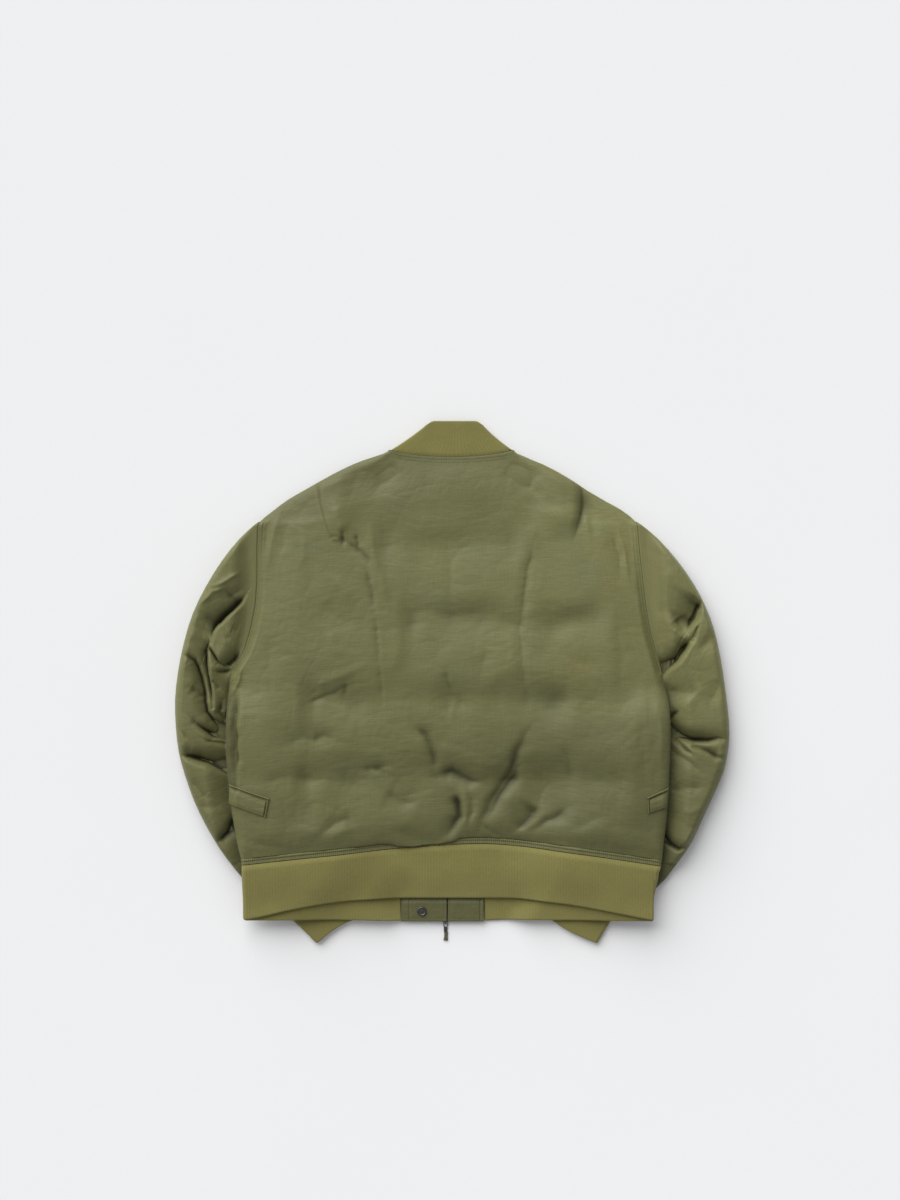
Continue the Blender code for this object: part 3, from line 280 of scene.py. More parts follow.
WORLD_LIGHT = 0.42
KEY_LIGHT = 3.83
KEY_SPREAD = 60
KEY_FROM = (-0.40, 0.74, 0.53)
CAMERA_AT = (-0.0028, 0.117, 2.83)
CAMERA_LENS = 59.6


def ramp(value):
    """0 up to 0, 1 from 1 on, and smooth between."""
    part = np.clip(value, 0, 1)
    return part * part * (3 - 2 * part)


def ease(value, start, run):
    """A smooth rise from 0 at the start to 1 a run further on."""
    return ramp((value - start) / run)


def bell(value, middle, half):
    """A smooth bump, 1 at its middle."""
    return np.exp(-((value - middle) / half) ** 2)


def arc(value):
    """The height of a quarter circle, 0 to 1."""
    part = np.clip(value, 0, 1)
    return np.sqrt(1 - (1 - part) ** 2)


def rounded(away, radius, least):
    """Share of the full thickness near a rounded edge."""
    return np.sqrt(np.clip(1 - (1 - np.clip(away / radius, 0, 1)) ** 2, least, 1))


def along(table, key, value, at):
    """The table's value column at a place in its key column."""
    rows = sorted((row[key], row[value]) for row in table)
    return np.interp(at, [row[0] for row in rows], [row[1] for row in rows])


def side_x(y, sign):
    """The outline's x at y, smoothed over the table's corners."""
    y = np.asarray(y, float)
    total = sum(weight * along(BODY_SIDES, 0, BODY_COLUMN[sign], y + step)
                for step, weight in ((-6, 0.25), (0, 0.5), (6, 0.25)))
    return total if sign > 0 else total - 4.4 * ease(y, -10, -130)


def edge_distance(x, y):
    """Distance in from the side or shoulder edge, square to it."""
    nearest = np.full(np.shape(x), 1e6)
    for sign in SIDES:
        slope = (side_x(y + 3, sign) - side_x(y - 3, sign)) / 6
        away = sign * (x - side_x(y, sign)) / np.sqrt(1 + slope * slope)
        nearest = np.minimum(nearest, away)
    return np.maximum(nearest, 0)


def hem_line(x):
    """y of the back's hem seam, an uneven arch."""
    away = np.sqrt((x - HEM_PEAK_X) ** 2 + 225) - 15
    drop = np.where(x < HEM_PEAK_X, HEM_LEFT_DROP, HEM_RIGHT_DROP)
    run = np.where(x < HEM_PEAK_X, HEM_LEFT_RUN, HEM_RIGHT_RUN)
    return HEM_PEAK_Y - drop * (away / run) ** 1.3


def front_hem_line(x):
    """y of the front's hem seam, which lies lower than the back's."""
    return -258 + 9 * ramp(-x / 300) + 6 * ramp(x / 300)


def neck_line(x):
    """y of the neck seam: a shallow curve that turns up at its corners."""
    part = np.minimum(np.abs(x) / NECK_HALF, 1)
    return 319 + 8 * part ** 2 + 1.8 * (np.maximum(part - 0.8, 0) / 0.2) ** 2


def armhole(y):
    """1 along the armhole, 0 at the side seam and at the shoulder seam."""
    return ease(y, UNDERARM_Y - 4, 12) * ease(y, TIP_Y + 6, -12)


def down_arm(x, y, sign):
    """Distance down the lower arm."""
    return ARM_WAY[0] * sign * x + ARM_WAY[1] * y


def rest_height(x, y):
    """How high the front's outer face lies over the sleeve and the cuff under it."""
    height = np.zeros(np.shape(x))
    for sign, table in RESTS.items():
        outer_x, outer_y, inner_x, inner_y = SLEEVES[sign][-1]
        cuff = 0.5 * (down_arm(outer_x, outer_y, sign) + down_arm(inner_x, inner_y, sign))
        top = LIFT + (CUFF_LIFT - LIFT) * ease(down_arm(x, y, sign), cuff + 4, 62)
        slope = 118 - 74 * ease(y, -258, -62)
        inside = sign * (along(table, 1, 0, y) - x)
        height = np.maximum(height, top * ease(y, 2, -52) * ramp((inside + 4 + slope) / slope))
    return height


def neck_thin(x, y):
    """1 where the layers thin out toward the neck seam."""
    return ease(y, 285, 36) * ease(np.abs(x), 118, -25)


def front_wall(x, y):
    return FRONT_WALL - 2.6 * neck_thin(x, y)


def layer_gap(x, y):
    return LAYER_GAP - 0.7 * neck_thin(x, y)


def seam_level(x, y):
    """Height of the seam between front and back."""
    return rest_height(x, y) + front_wall(x, y) + 0.5 * layer_gap(x, y)


def inner_face(x, y, up, wall):
    """Height of the face that looks at the other layer: level at the edge seam, then a wall in."""
    past_seam = np.maximum(armhole(y), ease(edge_distance(x, y), 0.5 * wall, 0.6 * wall))
    return seam_level(x, y) + up * 0.5 * (SEAM + (layer_gap(x, y) - SEAM) * past_seam)


def back_bottom(x, y):
    return inner_face(x, y, 1, SEAM_WALL)


def front_top(x, y):
    return inner_face(x, y, -1, FRONT_WALL)


def edge_roundness(x, y, radius):
    """0 at the outline, 1 a radius in from it, and 1 all along the armhole."""
    arm = armhole(y)
    return arm + (1 - arm) * arc(edge_distance(x, y) / radius + 0.012)


def front_bottom(x, y):
    level = seam_level(x, y) - 0.5 * SEAM
    return level - (level - rest_height(x, y)) * edge_roundness(x, y, 12)


def grain(x, y, size, seed):
    """Smooth noise from -1 to 1 with soft lumps of the given size."""
    table = np.random.default_rng(seed).uniform(-1, 1, (256, 256))
    u, v = x / size + 60, y / size + 60
    i, j = np.floor(u).astype(int), np.floor(v).astype(int)
    a, b = ramp(u - i), ramp(v - j)
    i, j = i % 255, j % 255
    low = table[i, j] * (1 - a) + table[i + 1, j] * a
    high = table[i, j + 1] * (1 - a) + table[i + 1, j + 1] * a
    return low * (1 - b) + high * b


def crumple(x, y, seed):
    """Small uneven creases that cross each other, sharp at the bottom."""
    total = np.zeros(np.shape(x))
    warp_x = x + 7 * grain(x, y, 34, seed + 1)
    warp_y = y + 7 * grain(x, y, 34, seed + 2)
    for degrees, stretch, size, depth in CRUMPLES:
        cos, sin = np.cos(np.radians(degrees)), np.sin(np.radians(degrees))
        u, v = (warp_x * cos + warp_y * sin) / stretch, warp_y * cos - warp_x * sin
        ridge = 1 - np.sqrt(grain(u, v, size, seed + degrees + 90) ** 2 + 0.004) * 2.2
        total -= depth * np.maximum(ridge, 0) ** 2
    return total * (0.55 + 0.45 * grain(x, y, 60, seed + 5))


def swell(x, y, seed):
    """Broad soft rises and hollows of the cloth."""
    return 1.1 * grain(x, y, 88, seed) + 0.6 * grain(x, y, 41, seed + 1)


def trace(x, y, spots):
    """Distance to a line of spots, the side it is on (+1 left) and the share run along it."""
    spots = np.array(spots, float)
    steps = np.hypot(*(spots[1:] - spots[:-1]).T)
    run = np.concatenate([[0], np.cumsum(steps)])
    best, side, share = np.full(np.shape(x), 1e9), np.ones(np.shape(x)), np.zeros(np.shape(x))
    for n, (start, end) in enumerate(zip(spots[:-1], spots[1:])):
        way = (end - start) / steps[n]
        part = np.clip((x - start[0]) * way[0] + (y - start[1]) * way[1], 0, steps[n])
        off_x, off_y = x - start[0] - part * way[0], y - start[1] - part * way[1]
        away = np.hypot(off_x, off_y)
        nearer = away < best
        best = np.where(nearer, away, best)
        side = np.where(nearer, np.where(way[0] * off_y - way[1] * off_x > 0, 1, -1), side)
        share = np.where(nearer, (run[n] + part) / run[-1], share)
    return best, side, share


def folds(table, x, y):
    """Height that the creases take away or add. Deep ones have a sharp line at the bottom."""
    total = np.zeros(np.shape(x))
    wobble = 1.4 * grain(x, y, 15, 77)
    for spots, left, right, depth, step in table:
        reach = 3.2 * max(left, right) + 4
        (low_x, low_y), (high_x, high_y) = np.min(spots, 0) - reach, np.max(spots, 0) + reach
        near = (x > low_x) & (x < high_x) & (y > low_y) & (y < high_y)
        if not near.any():
            continue
        away, side, share = trace(x[near] + wobble[near], y[near] - wobble[near], spots)
        half = np.where(side > 0, left, right)
        fade = 0.25 + 0.75 * ramp(share / 0.25) * ramp((1 - share) / 0.35)
        sharp = 0.16 if depth > 7.5 else 0
        change = -depth * fade * (np.exp(-(away / half) ** 1.5) + sharp * bell(away, 0, 2))
        lift = step * fade * bell(away, 0, 1.8 * half)
        total[near] += change + lift * ramp(0.5 + side * away / 2.4) * (side > 0)
    return total


def quilting(x, y):
    """Rise of the back between its cross seams: it sags slowly away from each seam and drops
    quickly into the next, more in some places than in others."""
    sunk = np.zeros(np.shape(x))
    waver = 3.4 * grain(x, y, 46, 31) + 1.2 * grain(x, y, 14, 32)
    for line, left, right, depth in QUILT:
        reach = ramp((x - left) / 30 + 0.5) * ramp((right - x) / 30 + 0.5)
        away = y - line - waver
        wide = 21 + 9 * grain(x, line, 44, 13)
        size = np.sqrt(away * away + 30.25) - 5.5
        above, below = np.exp(-(size / wide) ** 1.6), np.exp(-(size / 30) ** 1.25)
        uneven = 0.86 + 0.62 * grain(x, line, 36, 12)
        shape = uneven * np.where(away > 0, above, below) * depth + 0.2 * bell(away, 0, 3)
        sunk = np.maximum(sunk, reach * shape)
    return 5 * ramp(edge_distance(x, y) / 70) * ease(y, 318, -60) - sunk


def past_pleat(x, y, sign):
    """Distance in from the rolled edge of a pleat."""
    return sign * (x - along(PLEATS[sign], 0, 1, y))


def pleats(x, y):
    """The back's centre lies over the shoulder parts: a rolled edge that is tacked down."""
    left, right = past_pleat(x, y, 1), past_pleat(x, y, -1)
    span_left, span_right = ease(y, 199, 5 + 34 * ease(x, -163, 22)), ease(y, 196, 46)
    left_part = 0.55 * ramp(left / 3.2) * ease(x, -118, -52)
    left_part = (left_part + 0.3 * ramp(left / 20) * ease(left, 60, -40)) * span_left
    right_part = 1.9 * arc(right / 20) * ease(x, 106, 54) * span_right
    nip = 0.6 * bell(right, -3, 4.5) * span_right
    tack = 0.5 * bell(y, 204, 2.4) * bell(x, -163, 11)
    return 4.4 * np.maximum(left_part, right_part) - nip - tack


def bulge(x, y):
    """The soft swelling over the hem seam, fullest left of the middle."""
    from_hem = y - hem_line(x)
    left = 4 * bell(x, -82, 72) * bell(from_hem, 32, 30)
    return left + 1.6 * bell(x, 96, 62) * bell(from_hem, 42, 30)


def bridge(x, y):
    """The back spans part of the hollow between the sleeves that are folded under it."""
    return 0.42 * ease(y, -245, 190) * ease(y, 230, -220) * (LIFT - rest_height(x, y))


def seam_ridges(x, y):
    """Soft ridges that the two rows of sewing leave along the armholes."""
    inset = edge_distance(x, y)
    return armhole(y) * sum(height * bell(inset, middle, half) for middle, half, height in SEAM_RIDGES)


def overhang(x):
    """How far the padded edge hangs out over the hem seam."""
    uneven = 1 + 0.8 * grain(x, 0, 17, 8) + 0.6 * grain(x, 0, 7, 9)
    low = 2.4 * ease(x, -165, 40) * ease(x, 12, -16)
    deep = 6.6 * ease(x, -92, 26) * ease(x, 16, -16)
    return uneven + low + deep + 0.8 * bell(x, 92, 55)


def hem_climb(x, y):
    """0 at the hem seam to 1 on the full back, steepest under the swelling."""
    full = np.minimum(0.25 + 0.75 * bell(x, -62, 82) + 0.25 * bell(x, 70, 60), 1)
    part = np.clip((y - hem_line(x)) / (HEM_FALL - 8 * full), 0, 1)
    return ramp(part) * (1 - full) + arc(part) * full


def back_wall(x, y):
    from_hem = y - hem_line(x)
    creased = 1.45 * folds(BACK_FOLDS, x, y)
    full = BACK_WALL + quilting(x, y) + pleats(x, y) + creased
    full = full + bridge(x, y) - 8 * ease(y, 60, 240) - 4 * ease(y, -55, -150)
    full = full + bulge(x, y) + 1.3 * swell(x, y, 3) + 1.5 * crumple(x, y, 40)
    full = full + 1.3 * swell(x * 1.6, y * 1.6, 91) * ease(y, -110, -40)
    arm = armhole(y) * ramp(1 - edge_distance(x, y) / 13)
    drop = np.maximum(np.maximum(1 - hem_climb(x, y), arm), 0.45 * ease(y, 292, 26))
    drop = np.maximum(drop, 0.9 * neck_thin(x, y))
    tucks = 0.9 * grain(x, 0, 13, 8) * bell(from_hem, 0, 13)
    low = SEAM_WALL - 2.9 * neck_thin(x, y) - 2.4 * ramp(1 - from_hem / 26) + tucks
    total = full * (1 - drop) + low * drop + 0.5 * creased * ease(y, 280, 20)
    return np.maximum(total, 4.4) + seam_ridges(x, y)


def back_top(x, y):
    level = seam_level(x, y) + 0.5 * SEAM
    full = rest_height(x, y) + front_wall(x, y) + layer_gap(x, y) + back_wall(x, y)
    radius = EDGE_ROUND * (1 - 0.8 * neck_thin(x, y))
    radius = radius * (1 - 0.55 * ramp(1 - (y - hem_line(x)) / HEM_FALL))
    return level + (full - level) * edge_roundness(x, y, radius)


def run_along(spots):
    """Distance run at each spot of a line."""
    steps = np.linalg.norm(np.diff(spots, axis=0), axis=1)
    return np.concatenate([[0], np.cumsum(steps)])


def lengths(points, axis):
    """Distance run along one axis of a grid of points, measured on its middle line."""
    return run_along(points[points.shape[0] // 2] if axis == 1 else points[:, points.shape[1] // 2])


def smeared(grid, count, axis):
    """The grid averaged over its neighbours along one axis."""
    pad, wide = [(0, 0), (0, 0)], 2 * count + 1
    pad[axis] = (count + 1, count)
    total = np.cumsum(np.pad(grid, pad, mode="edge"), axis=axis)
    ends = np.arange(grid.shape[axis]) + wide
    return (np.take(total, ends, axis) - np.take(total, ends - wide, axis)) / wide


def hollows(points, reach):
    """How deep a face lies below the cloth around it, 0 to 1, which sets the strength of painted shade."""
    around = points[:, :, 2]
    for axis in (0, 1):
        step = lengths(points, axis)[-1] / points.shape[axis]
        count = max(1, int(round(reach / step)))
        around = smeared(smeared(around, count, axis), count, axis)
    return np.clip((around - points[:, :, 2] - 0.4) / 4.6, 0, 1)


def store_painted_shade(thing, share):
    """The outer face carries the 'hollow' attribute, the strength of painted shade that darkens the cloth's
    colour.
    """
    values = np.zeros(len(thing.data.vertices), dtype=np.float32)
    values[:share.size] = share.ravel()
    layer = thing.data.attributes.new("hollow", "FLOAT", "POINT")
    layer.data.foreach_set("value", values)


def stacked(*parts):
    """Points from their x, y and z."""
    return np.stack(np.broadcast_arrays(*parts), axis=-1)


def linked(name, data):
    thing = bpy.data.objects.new(name, data)
    bpy.context.scene.collection.objects.link(thing)
    return thing


def mesh_thing(name, points, faces, made, places=None):
    """A mesh from points in millimetres, turned outward, with its cloth coordinates."""
    points = np.asarray(points, dtype=float)
    one, two, three, four = points[np.array([face for face in faces if len(face) == 4]).T]
    if (one * (np.cross(two, three) + np.cross(three, four))).sum() < 0:
        faces = [face[::-1] for face in faces]
    mesh = bpy.data.meshes.new(name)
    mesh.from_pydata((points * SCALE).tolist(), [], faces)
    mesh.polygons.foreach_set("use_smooth", [True] * len(mesh.polygons))
    mesh.materials.append(made)
    if places is not None:
        corner = np.zeros(len(mesh.loops), dtype=np.int32)
        mesh.loops.foreach_get("vertex_index", corner)
        layer = mesh.uv_layers.new(name="cloth")
        layer.data.foreach_set("uv", (places[corner] * SCALE).ravel())
    mesh.update()
    return linked(name, mesh)


def grid_faces(rows, cols, closed, base=0):
    """Four-sided faces of a grid of points, the rows closed to rings or open."""
    last = cols if closed else cols - 1
    return [(low + c, low + (c + 1) % cols, low + cols + (c + 1) % cols, low + cols + c)
            for low in range(base, base + (rows - 1) * cols, cols) for c in range(last)]


def tube_faces(rings, count, base=0):
    """Faces of a tube of rings, with both ends shut."""
    top = base + (rings - 1) * count
    ends = [tuple(range(base + count - 1, base - 1, -1)), tuple(range(top, top + count))]
    return grid_faces(rings, count, True, base) + ends


def picked(count, step):
    """Every so many of the count, and always the last."""
    return np.array(sorted(set(range(0, count, step)) | {count - 1}))


def skin(name, outer, inner, made, step_r=1, step_c=1, closed=False):
    """A cloth piece with a fine outer face, a coarser inner face and rims between them."""
    rows, cols = outer.shape[:2]
    keep_r = picked(rows, step_r)
    keep_c = np.arange(0, cols, step_c) if closed else picked(cols, step_c)
    coarse = np.ix_(keep_r, keep_c)
    places = np.stack(np.meshgrid(lengths(outer, 1), lengths(outer, 0)), 2)
    points = np.concatenate([outer.reshape(-1, 3), inner[coarse].reshape(-1, 3)])
    places = np.concatenate([places.reshape(-1, 2), places[coarse].reshape(-1, 2)])
    base, wide = rows * cols, len(keep_c)
    faces = grid_faces(rows, cols, closed)
    faces += [(a, d, c, b) for a, b, c, d in grid_faces(len(keep_r), wide, closed, base)]
    spot = {(r, c): base + i * wide + j for i, r in enumerate(keep_r) for j, c in enumerate(keep_c)}
    first = [(0, c) for c in range(cols)]
    last = [(rows - 1, c) for c in range(cols - 1, -1, -1)]
    rims = [first + first[:1], last[-1:] + last]
    if not closed:
        rims = [first + [(r, cols - 1) for r in range(1, rows - 1)] + last
                + [(r, 0) for r in range(rows - 2, -1, -1)]]
    for rim in rims:
        marks = [n for n, cell in enumerate(rim) if cell in spot]
        for start, end in zip(marks, marks[1:]):
            low_a, low_b = spot[rim[start]], spot[rim[end]]
            high = [r * cols + c for r, c in rim[start:end + 1]]
            middle = (len(high) - 1) // 2
            faces += [(low_a, high[n + 1], high[n]) for n in range(middle)]
            faces.append((low_a, low_b, high[middle]))
            faces += [(low_b, high[n + 1], high[n]) for n in range(middle, len(high) - 1)]
    return mesh_thing(name, points, faces, made, places)


def dressed(thing, node, body="jacket"):
    """The piece rides on its body and stands for its node."""
    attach(thing, body)
    if node:
        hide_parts(node)
    return thing


def spread(count, edge):
    """Shares from 0 to 1, closer together near both ends."""
    even = np.linspace(0, 1, count)
    return even * (1 - edge) + (0.5 - 0.5 * np.cos(np.pi * even)) * edge


def crowded(count, edge, places):
    """Shares from 0 to 1 that also crowd together near the given places."""
    at = np.linspace(0, 1, 2001)
    density = np.gradient(np.interp(at, spread(400, edge), np.linspace(0, 1, 400)), at)
    for middle, half in places:
        density = density + 1.3 * np.exp(-((at - middle) / half) ** 4)
    total = np.cumsum(density) - density[0]
    return np.interp(np.linspace(0, total[-1], count), total, at)


def panel_points(columns, shares, first_edge, last_edge, low_line, high_line, low_y, high_y):
    """Points of a body panel between its edges and two lines across."""
    rows = []
    for share in shares:
        y = np.full_like(columns, low_y * (1 - share) + high_y * share)
        for _ in range(5):
            x = first_edge(y) + columns * (last_edge(y) - first_edge(y))
            y = low_line(x) * (1 - share) + high_line(x) * share
        rows.append((x, y))
    return np.array(rows).swapaxes(0, 1)


def build_back(made):
    """The padded back: rows and columns lie closer together at the hem and at its deepest folds."""
    near = (1 - np.cos(np.linspace(0, 0.5 * np.pi, 20))) * 22 / 540
    shares = np.concatenate([near, near[-1] + (1 - near[-1]) * spread(BACK_GRID[0], 0.2)[1:]])
    columns = crowded(BACK_GRID[1], 0.5, ((0.16, 0.04), (0.855, 0.035)))
    x, y = panel_points(columns, shares, lambda y: side_x(y, 1), lambda y: side_x(y, -1),
                        hem_line, neck_line, hem_line(0), neck_line(0))
    top, low = back_top(x, y), back_bottom(x, y)
    out = y - overhang(x) * np.sin(np.pi * hem_climb(x, y)) * ramp(edge_distance(x, y) / 24)
    # the last row tucks a little under the collar
    out[-1] += 1
    top[-1] -= 0.5
    thing = skin("back_cloth", stacked(x, out, top), stacked(x, y, low), made, 6, 6)
    # painted shade: the colour darkens in creases and recesses, fading out at the outline and the hem and
    # kept off the left pleat's lit edge
    inside = ramp(edge_distance(x, y) / 12 + 0.3) * ramp((y - hem_line(x)) / 30)
    deep = hollows(stacked(x, out, top), 8) * inside
    deep = deep * (1 - bell(past_pleat(x, y, 1), 0, 9) * ease(y, 202, 6))
    # more painted shade in a band along the left side's edge and beside the right pleat's rolled edge
    side = ease(x, -302.6, -1.6) * ease(y, -165, 22) * ease(y, -4, -22)
    right = past_pleat(x, y, -1)
    roll = ramp(right / 1.5 + 0.3) * ease(right, 15, -12) * ease(y, 198, 30)
    deep = np.maximum(deep, np.maximum(0.42 * side, 0.36 * roll))
    # painted shade along the last rows, which tuck under the collar
    deep[-2:] = np.maximum(deep[-2:], 0.3)
    store_painted_shade(thing, deep)
    dressed(thing, "back_panel")


def front_edge(y, sign):
    """The front panel's inner edge: the zip below, the neckline above."""
    turn = np.arcsin(np.clip((327 - y) / 65, 0, 1)) / (0.5 * np.pi)
    edge = -sign * (NECK_HALF - 1.5)
    return edge + turn * (ZIP_X - sign * 12 - edge)


def build_front(made, sign):
    """The front panels lie face down: padded cloth with its own soft creases below."""
    rows, columns = FRONT_GRID
    x, y = panel_points(spread(columns, 0.4), spread(rows, 0.3), lambda y: side_x(y, sign),
                        lambda y: front_edge(y, sign), front_hem_line, neck_line, -250, 319)
    x, y = x[:, ::sign], y[:, ::sign]
    top, low = front_top(x, y), front_bottom(x, y)
    soft = ramp(edge_distance(x, y) / 30) * ramp(np.abs(x - front_edge(y, sign)) / 12)
    high_part = ease(rest_height(x, y), 4, 8)
    dents = np.maximum(0.9 * swell(x, y, 14) - 1.4 * crumple(x, y, 60), 0)
    low = low + soft * (0.35 + 0.65 * high_part) * np.minimum(dents, 3)
    side = SIDES[sign]
    thing = skin("front_cloth_" + side, stacked(x, y, low), stacked(x, y, top), made, 4, 4)
    dressed(thing, "front_panel_" + side)


def section_values(at, values):
    """The sections' values at fractional places, with their corners rounded."""
    steps = np.arange(-1, len(values) + 1)
    values = [2 * values[0] - values[1], *values, 2 * values[-1] - values[-2]]
    return sum(weight * np.interp(at + move, steps, values)
               for move, weight in ((-0.45, 0.25), (0, 0.5), (0.45, 0.25)))


def sleeve_points(sign, at, share):
    """Points from the armhole to the cuff seam, each row from the outer to the inner edge."""
    outer_x, outer_y, inner_x, inner_y = [section_values(at, column) for column in zip(*SLEEVES[sign])]
    level = TIP_Y - share * (TIP_Y - UNDERARM_Y)
    seam = side_x(level, sign) - sign * SEAM
    chord = seam[:, :1] + share * (seam[:, -1:] - seam[:, :1])
    x = outer_x + share * (inner_x - outer_x) + np.clip(1 - at / 3.6, 0, 1) * (seam - chord)
    y = outer_y + share * (inner_y - outer_y)
    under = ease(share, 0.72, 0.28) * ramp(at / 1.2) * ease(at, 9, -2)
    x = x + (4.5 if sign > 0 else -9) * under
    if sign < 0:
        x = x + 3 * bell(y, -190, 70) * (1 - share)
    x[0], y[0] = seam, level
    return x, y, np.minimum(share, 1 - share) * np.hypot(inner_x - outer_x, inner_y - outer_y)


def sleeve_faces(sign, x, y, at, share, nearest):
    """Top and bottom faces of the top sleeve and of the under sleeve."""
    to_cuff = ease(at, len(SLEEVES[sign]) - 4, 3)
    wall = SLEEVE_WALL - 2.4 * to_cuff
    level = wall + 0.5 * SLEEVE_GAP
    outside = np.where(y < -256, -10, sign * (side_x(y, sign) - x))
    full = 2 * wall + SLEEVE_GAP + SLEEVE_PUFF * ramp(outside / 32) * (1 - to_cuff)
    seed = BODY_COLUMN[sign]
    change = 1.25 * folds(SLEEVE_FOLDS[sign], x, y)
    change = change + 1.5 * swell(x, y, 21 + seed) + 1.3 * crumple(x, y, 50 + 8 * seed)
    change = change * ramp(nearest / 14) * ramp(outside / 6 + 0.4)
    inner = ease(nearest, 0.5 * wall, 0.6 * wall)
    past_seam = 0.5 * (SEAM + (SLEEVE_GAP - SEAM) * inner)
    above, below = level + 0.5 * SEAM, level - 0.5 * SEAM
    radius = np.where(share > 0.5, 5, SLEEVE_ROUND)
    top = above + (full - level) * arc(nearest / radius + 0.012) + change
    top = np.maximum(top, above + 0.6 * inner)
    low = np.minimum(level + past_seam, top - 0.5)
    floor = below * (1 - arc(nearest / 12 + 0.012))
    body, hole = ramp(1 - at / 1.6), np.clip(y, UNDERARM_Y, TIP_Y)
    edge_x = side_x(hole, sign) + sign * 0.01
    seams = ((top, back_top), (low, back_bottom), (level - past_seam, front_top),
             (floor, front_bottom))
    return [face * (1 - body) + seam(edge_x, hole) * body for face, seam in seams]


def build_sleeve(made, sign):
    """The finely creased top sleeve, and the plain under sleeve that lies on the table."""
    side, last = SIDES[sign], len(SLEEVES[sign]) - 1
    rows, columns = SLEEVE_GRID
    at, share = np.linspace(0, last, rows)[:, None], spread(columns, 0.5)[None, :]
    x, y, nearest = sleeve_points(sign, at, share)
    top, low, _, _ = sleeve_faces(sign, x, y, at, share, nearest)
    thing = skin("sleeve_cloth_" + side, stacked(x, y, top), stacked(x, y, low), made, 10, 10)
    # painted shade: the colour darkens in the sleeve's creases and on a band beside the body's edge, which
    # overhangs the sleeve
    inside = np.maximum(ramp(nearest / 16), ease(share, 0.5, 0.1))
    deep = hollows(stacked(x, y, top), 7) * inside * ramp(at / 1.2)
    away = np.maximum(sign * (side_x(y, sign) - x), 0)
    under = bell(away, 0, 8) * ease(y, UNDERARM_Y, -12) * ramp(at - 1)
    store_painted_shade(thing, np.maximum(deep, 0.56 * under))
    dressed(thing, "sleeve_" + side + "_top")
    rows, columns = UNDER_SLEEVE_GRID
    at, share = np.linspace(0, last, rows)[:, None], spread(columns, 0.4)[None, :]
    x, y, nearest = sleeve_points(sign, at, share)
    _, _, high, floor = sleeve_faces(sign, x, y, at, share, nearest)
    dents = np.maximum(swell(x, y, 33 + sign) - 1.6 * crumple(x, y, 70 + sign), 0)
    floor = floor + np.minimum(dents, 2.6) * ramp(nearest / 30) * np.clip(at / 2, 0, 1)
    thing = skin("sleeve_under_cloth_" + side, stacked(x, y, floor), stacked(x, y, high), made, 4, 4)
    dressed(thing, "sleeve_" + side + "_under")


def edge_shares(width, fine):
    """Shares across a folded knit edge: even at first, then close together at the fold."""
    ends = [width - 2.6, width - 1.6, width - 0.85, width - 0.3, width]
    return np.array([*np.linspace(0, width - 4, fine), *ends]) / width


def edge_wall(from_edge):
    """Share of the full thickness, round at the folded edge."""
    return rounded(from_edge, 2.2, 0.03)


def knit(run, pitch, depth):
    """Height of the knit's ribs along a run: rounded ribs with narrow furrows."""
    return depth * (np.abs(np.cos(np.pi * run / pitch)) ** 0.7 - 0.6)


def facing(centre):
    """The way a band's centre surface faces."""
    way = np.gradient(centre, axis=1)
    normal = stacked(-way[:, :, 2], 0, way[:, :, 0])
    return normal / np.linalg.norm(normal, axis=2, keepdims=True)


def end_wall(run):
    """Share of the full thickness along a band, round at both ends."""
    return edge_wall(run + 0.2) * edge_wall(run[-1] - run + 0.2)


def rib_band(name, centre, made, node, **sheet):
    """A knit band on its centre surface, ribbed on both faces, with a folded free edge."""
    normal, run, down = facing(centre), lengths(centre, 1), lengths(centre, 0)
    half = 0.5 * RIB_WALL * edge_wall(down[-1] - down)[:, None] * end_wall(run)
    thin = np.minimum(half / 1.2, 1)
    rise = half + knit(run, RIB_PITCH, RIB_DEPTH) * thin
    back_rise = half + knit(run + 0.5 * RIB_PITCH, RIB_PITCH, RIB_DEPTH) * thin
    thing = skin(name, centre + rise[:, :, None] * normal, centre - back_rise[:, :, None] * normal,
                 made)
    dressed(thing, node)


def hem_surface(layer, value, share, lines):
    """Points of the hem's centre surface, which sinks from the seam to its free edge."""
    value, share = np.meshgrid(value, share)
    side = {"left": -1, "right": 1}.get(layer)

    def level_of(near, x):
        start, stop = lines[near]
        return start(x) * (1 - share) + stop(x) * share

    base_x = np.full_like(value, side * HEM_TURN_X) if side else value
    level = level_of("front" if layer == "front" else "back", base_x)
    settle = ease(level, -259, -60)
    low_z, high_z = 5.9 - 3.4 * settle, 14.2 - 5.4 * settle
    if side:
        turn = value if side < 0 else 1 - value
        edge = -296.5 + 1.5 * settle
        if side > 0:
            edge = 295.2 - 3 * ease(level, -256, -8) - 9 * settle
        reach, radius = np.abs(edge - base_x) - 0.5 * RIB_WALL, 0.5 * (high_z - low_z)
        x = base_x + side * (reach - radius + radius * np.sin(np.pi * turn))
        y_front, y_back, part = level_of("front", x), level_of("back", x), ease(turn, 0.15, 0.45)
        y = np.minimum(y_front, y_back) * (1 - part) + y_back * part
        z = 0.5 * (low_z + high_z) - radius * np.cos(np.pi * turn)
        return stacked(x, y, z + rest_height(base_x, y))
    wave = 0.55 * grain(base_x, level, 26, 91) * ramp(4 * share) * ramp((1.02 - share) * 5)
    wave = wave + 0.28 * grain(base_x, 0, 5.5, 92) * (1 - ramp(share * 6))
    wave = wave * ease(np.abs(base_x), HEM_TURN_X + 2, -20)
    z = high_z + wave if layer == "back" else low_z + np.abs(wave)
    return stacked(base_x, level, z + rest_height(base_x, level))


def rounded_line(table):
    """A line through the table's points with its corners eased."""
    return lambda x: sum(0.2 * along(table, 0, 1, x + move) for move in (-24, -12, 0, 12, 24))


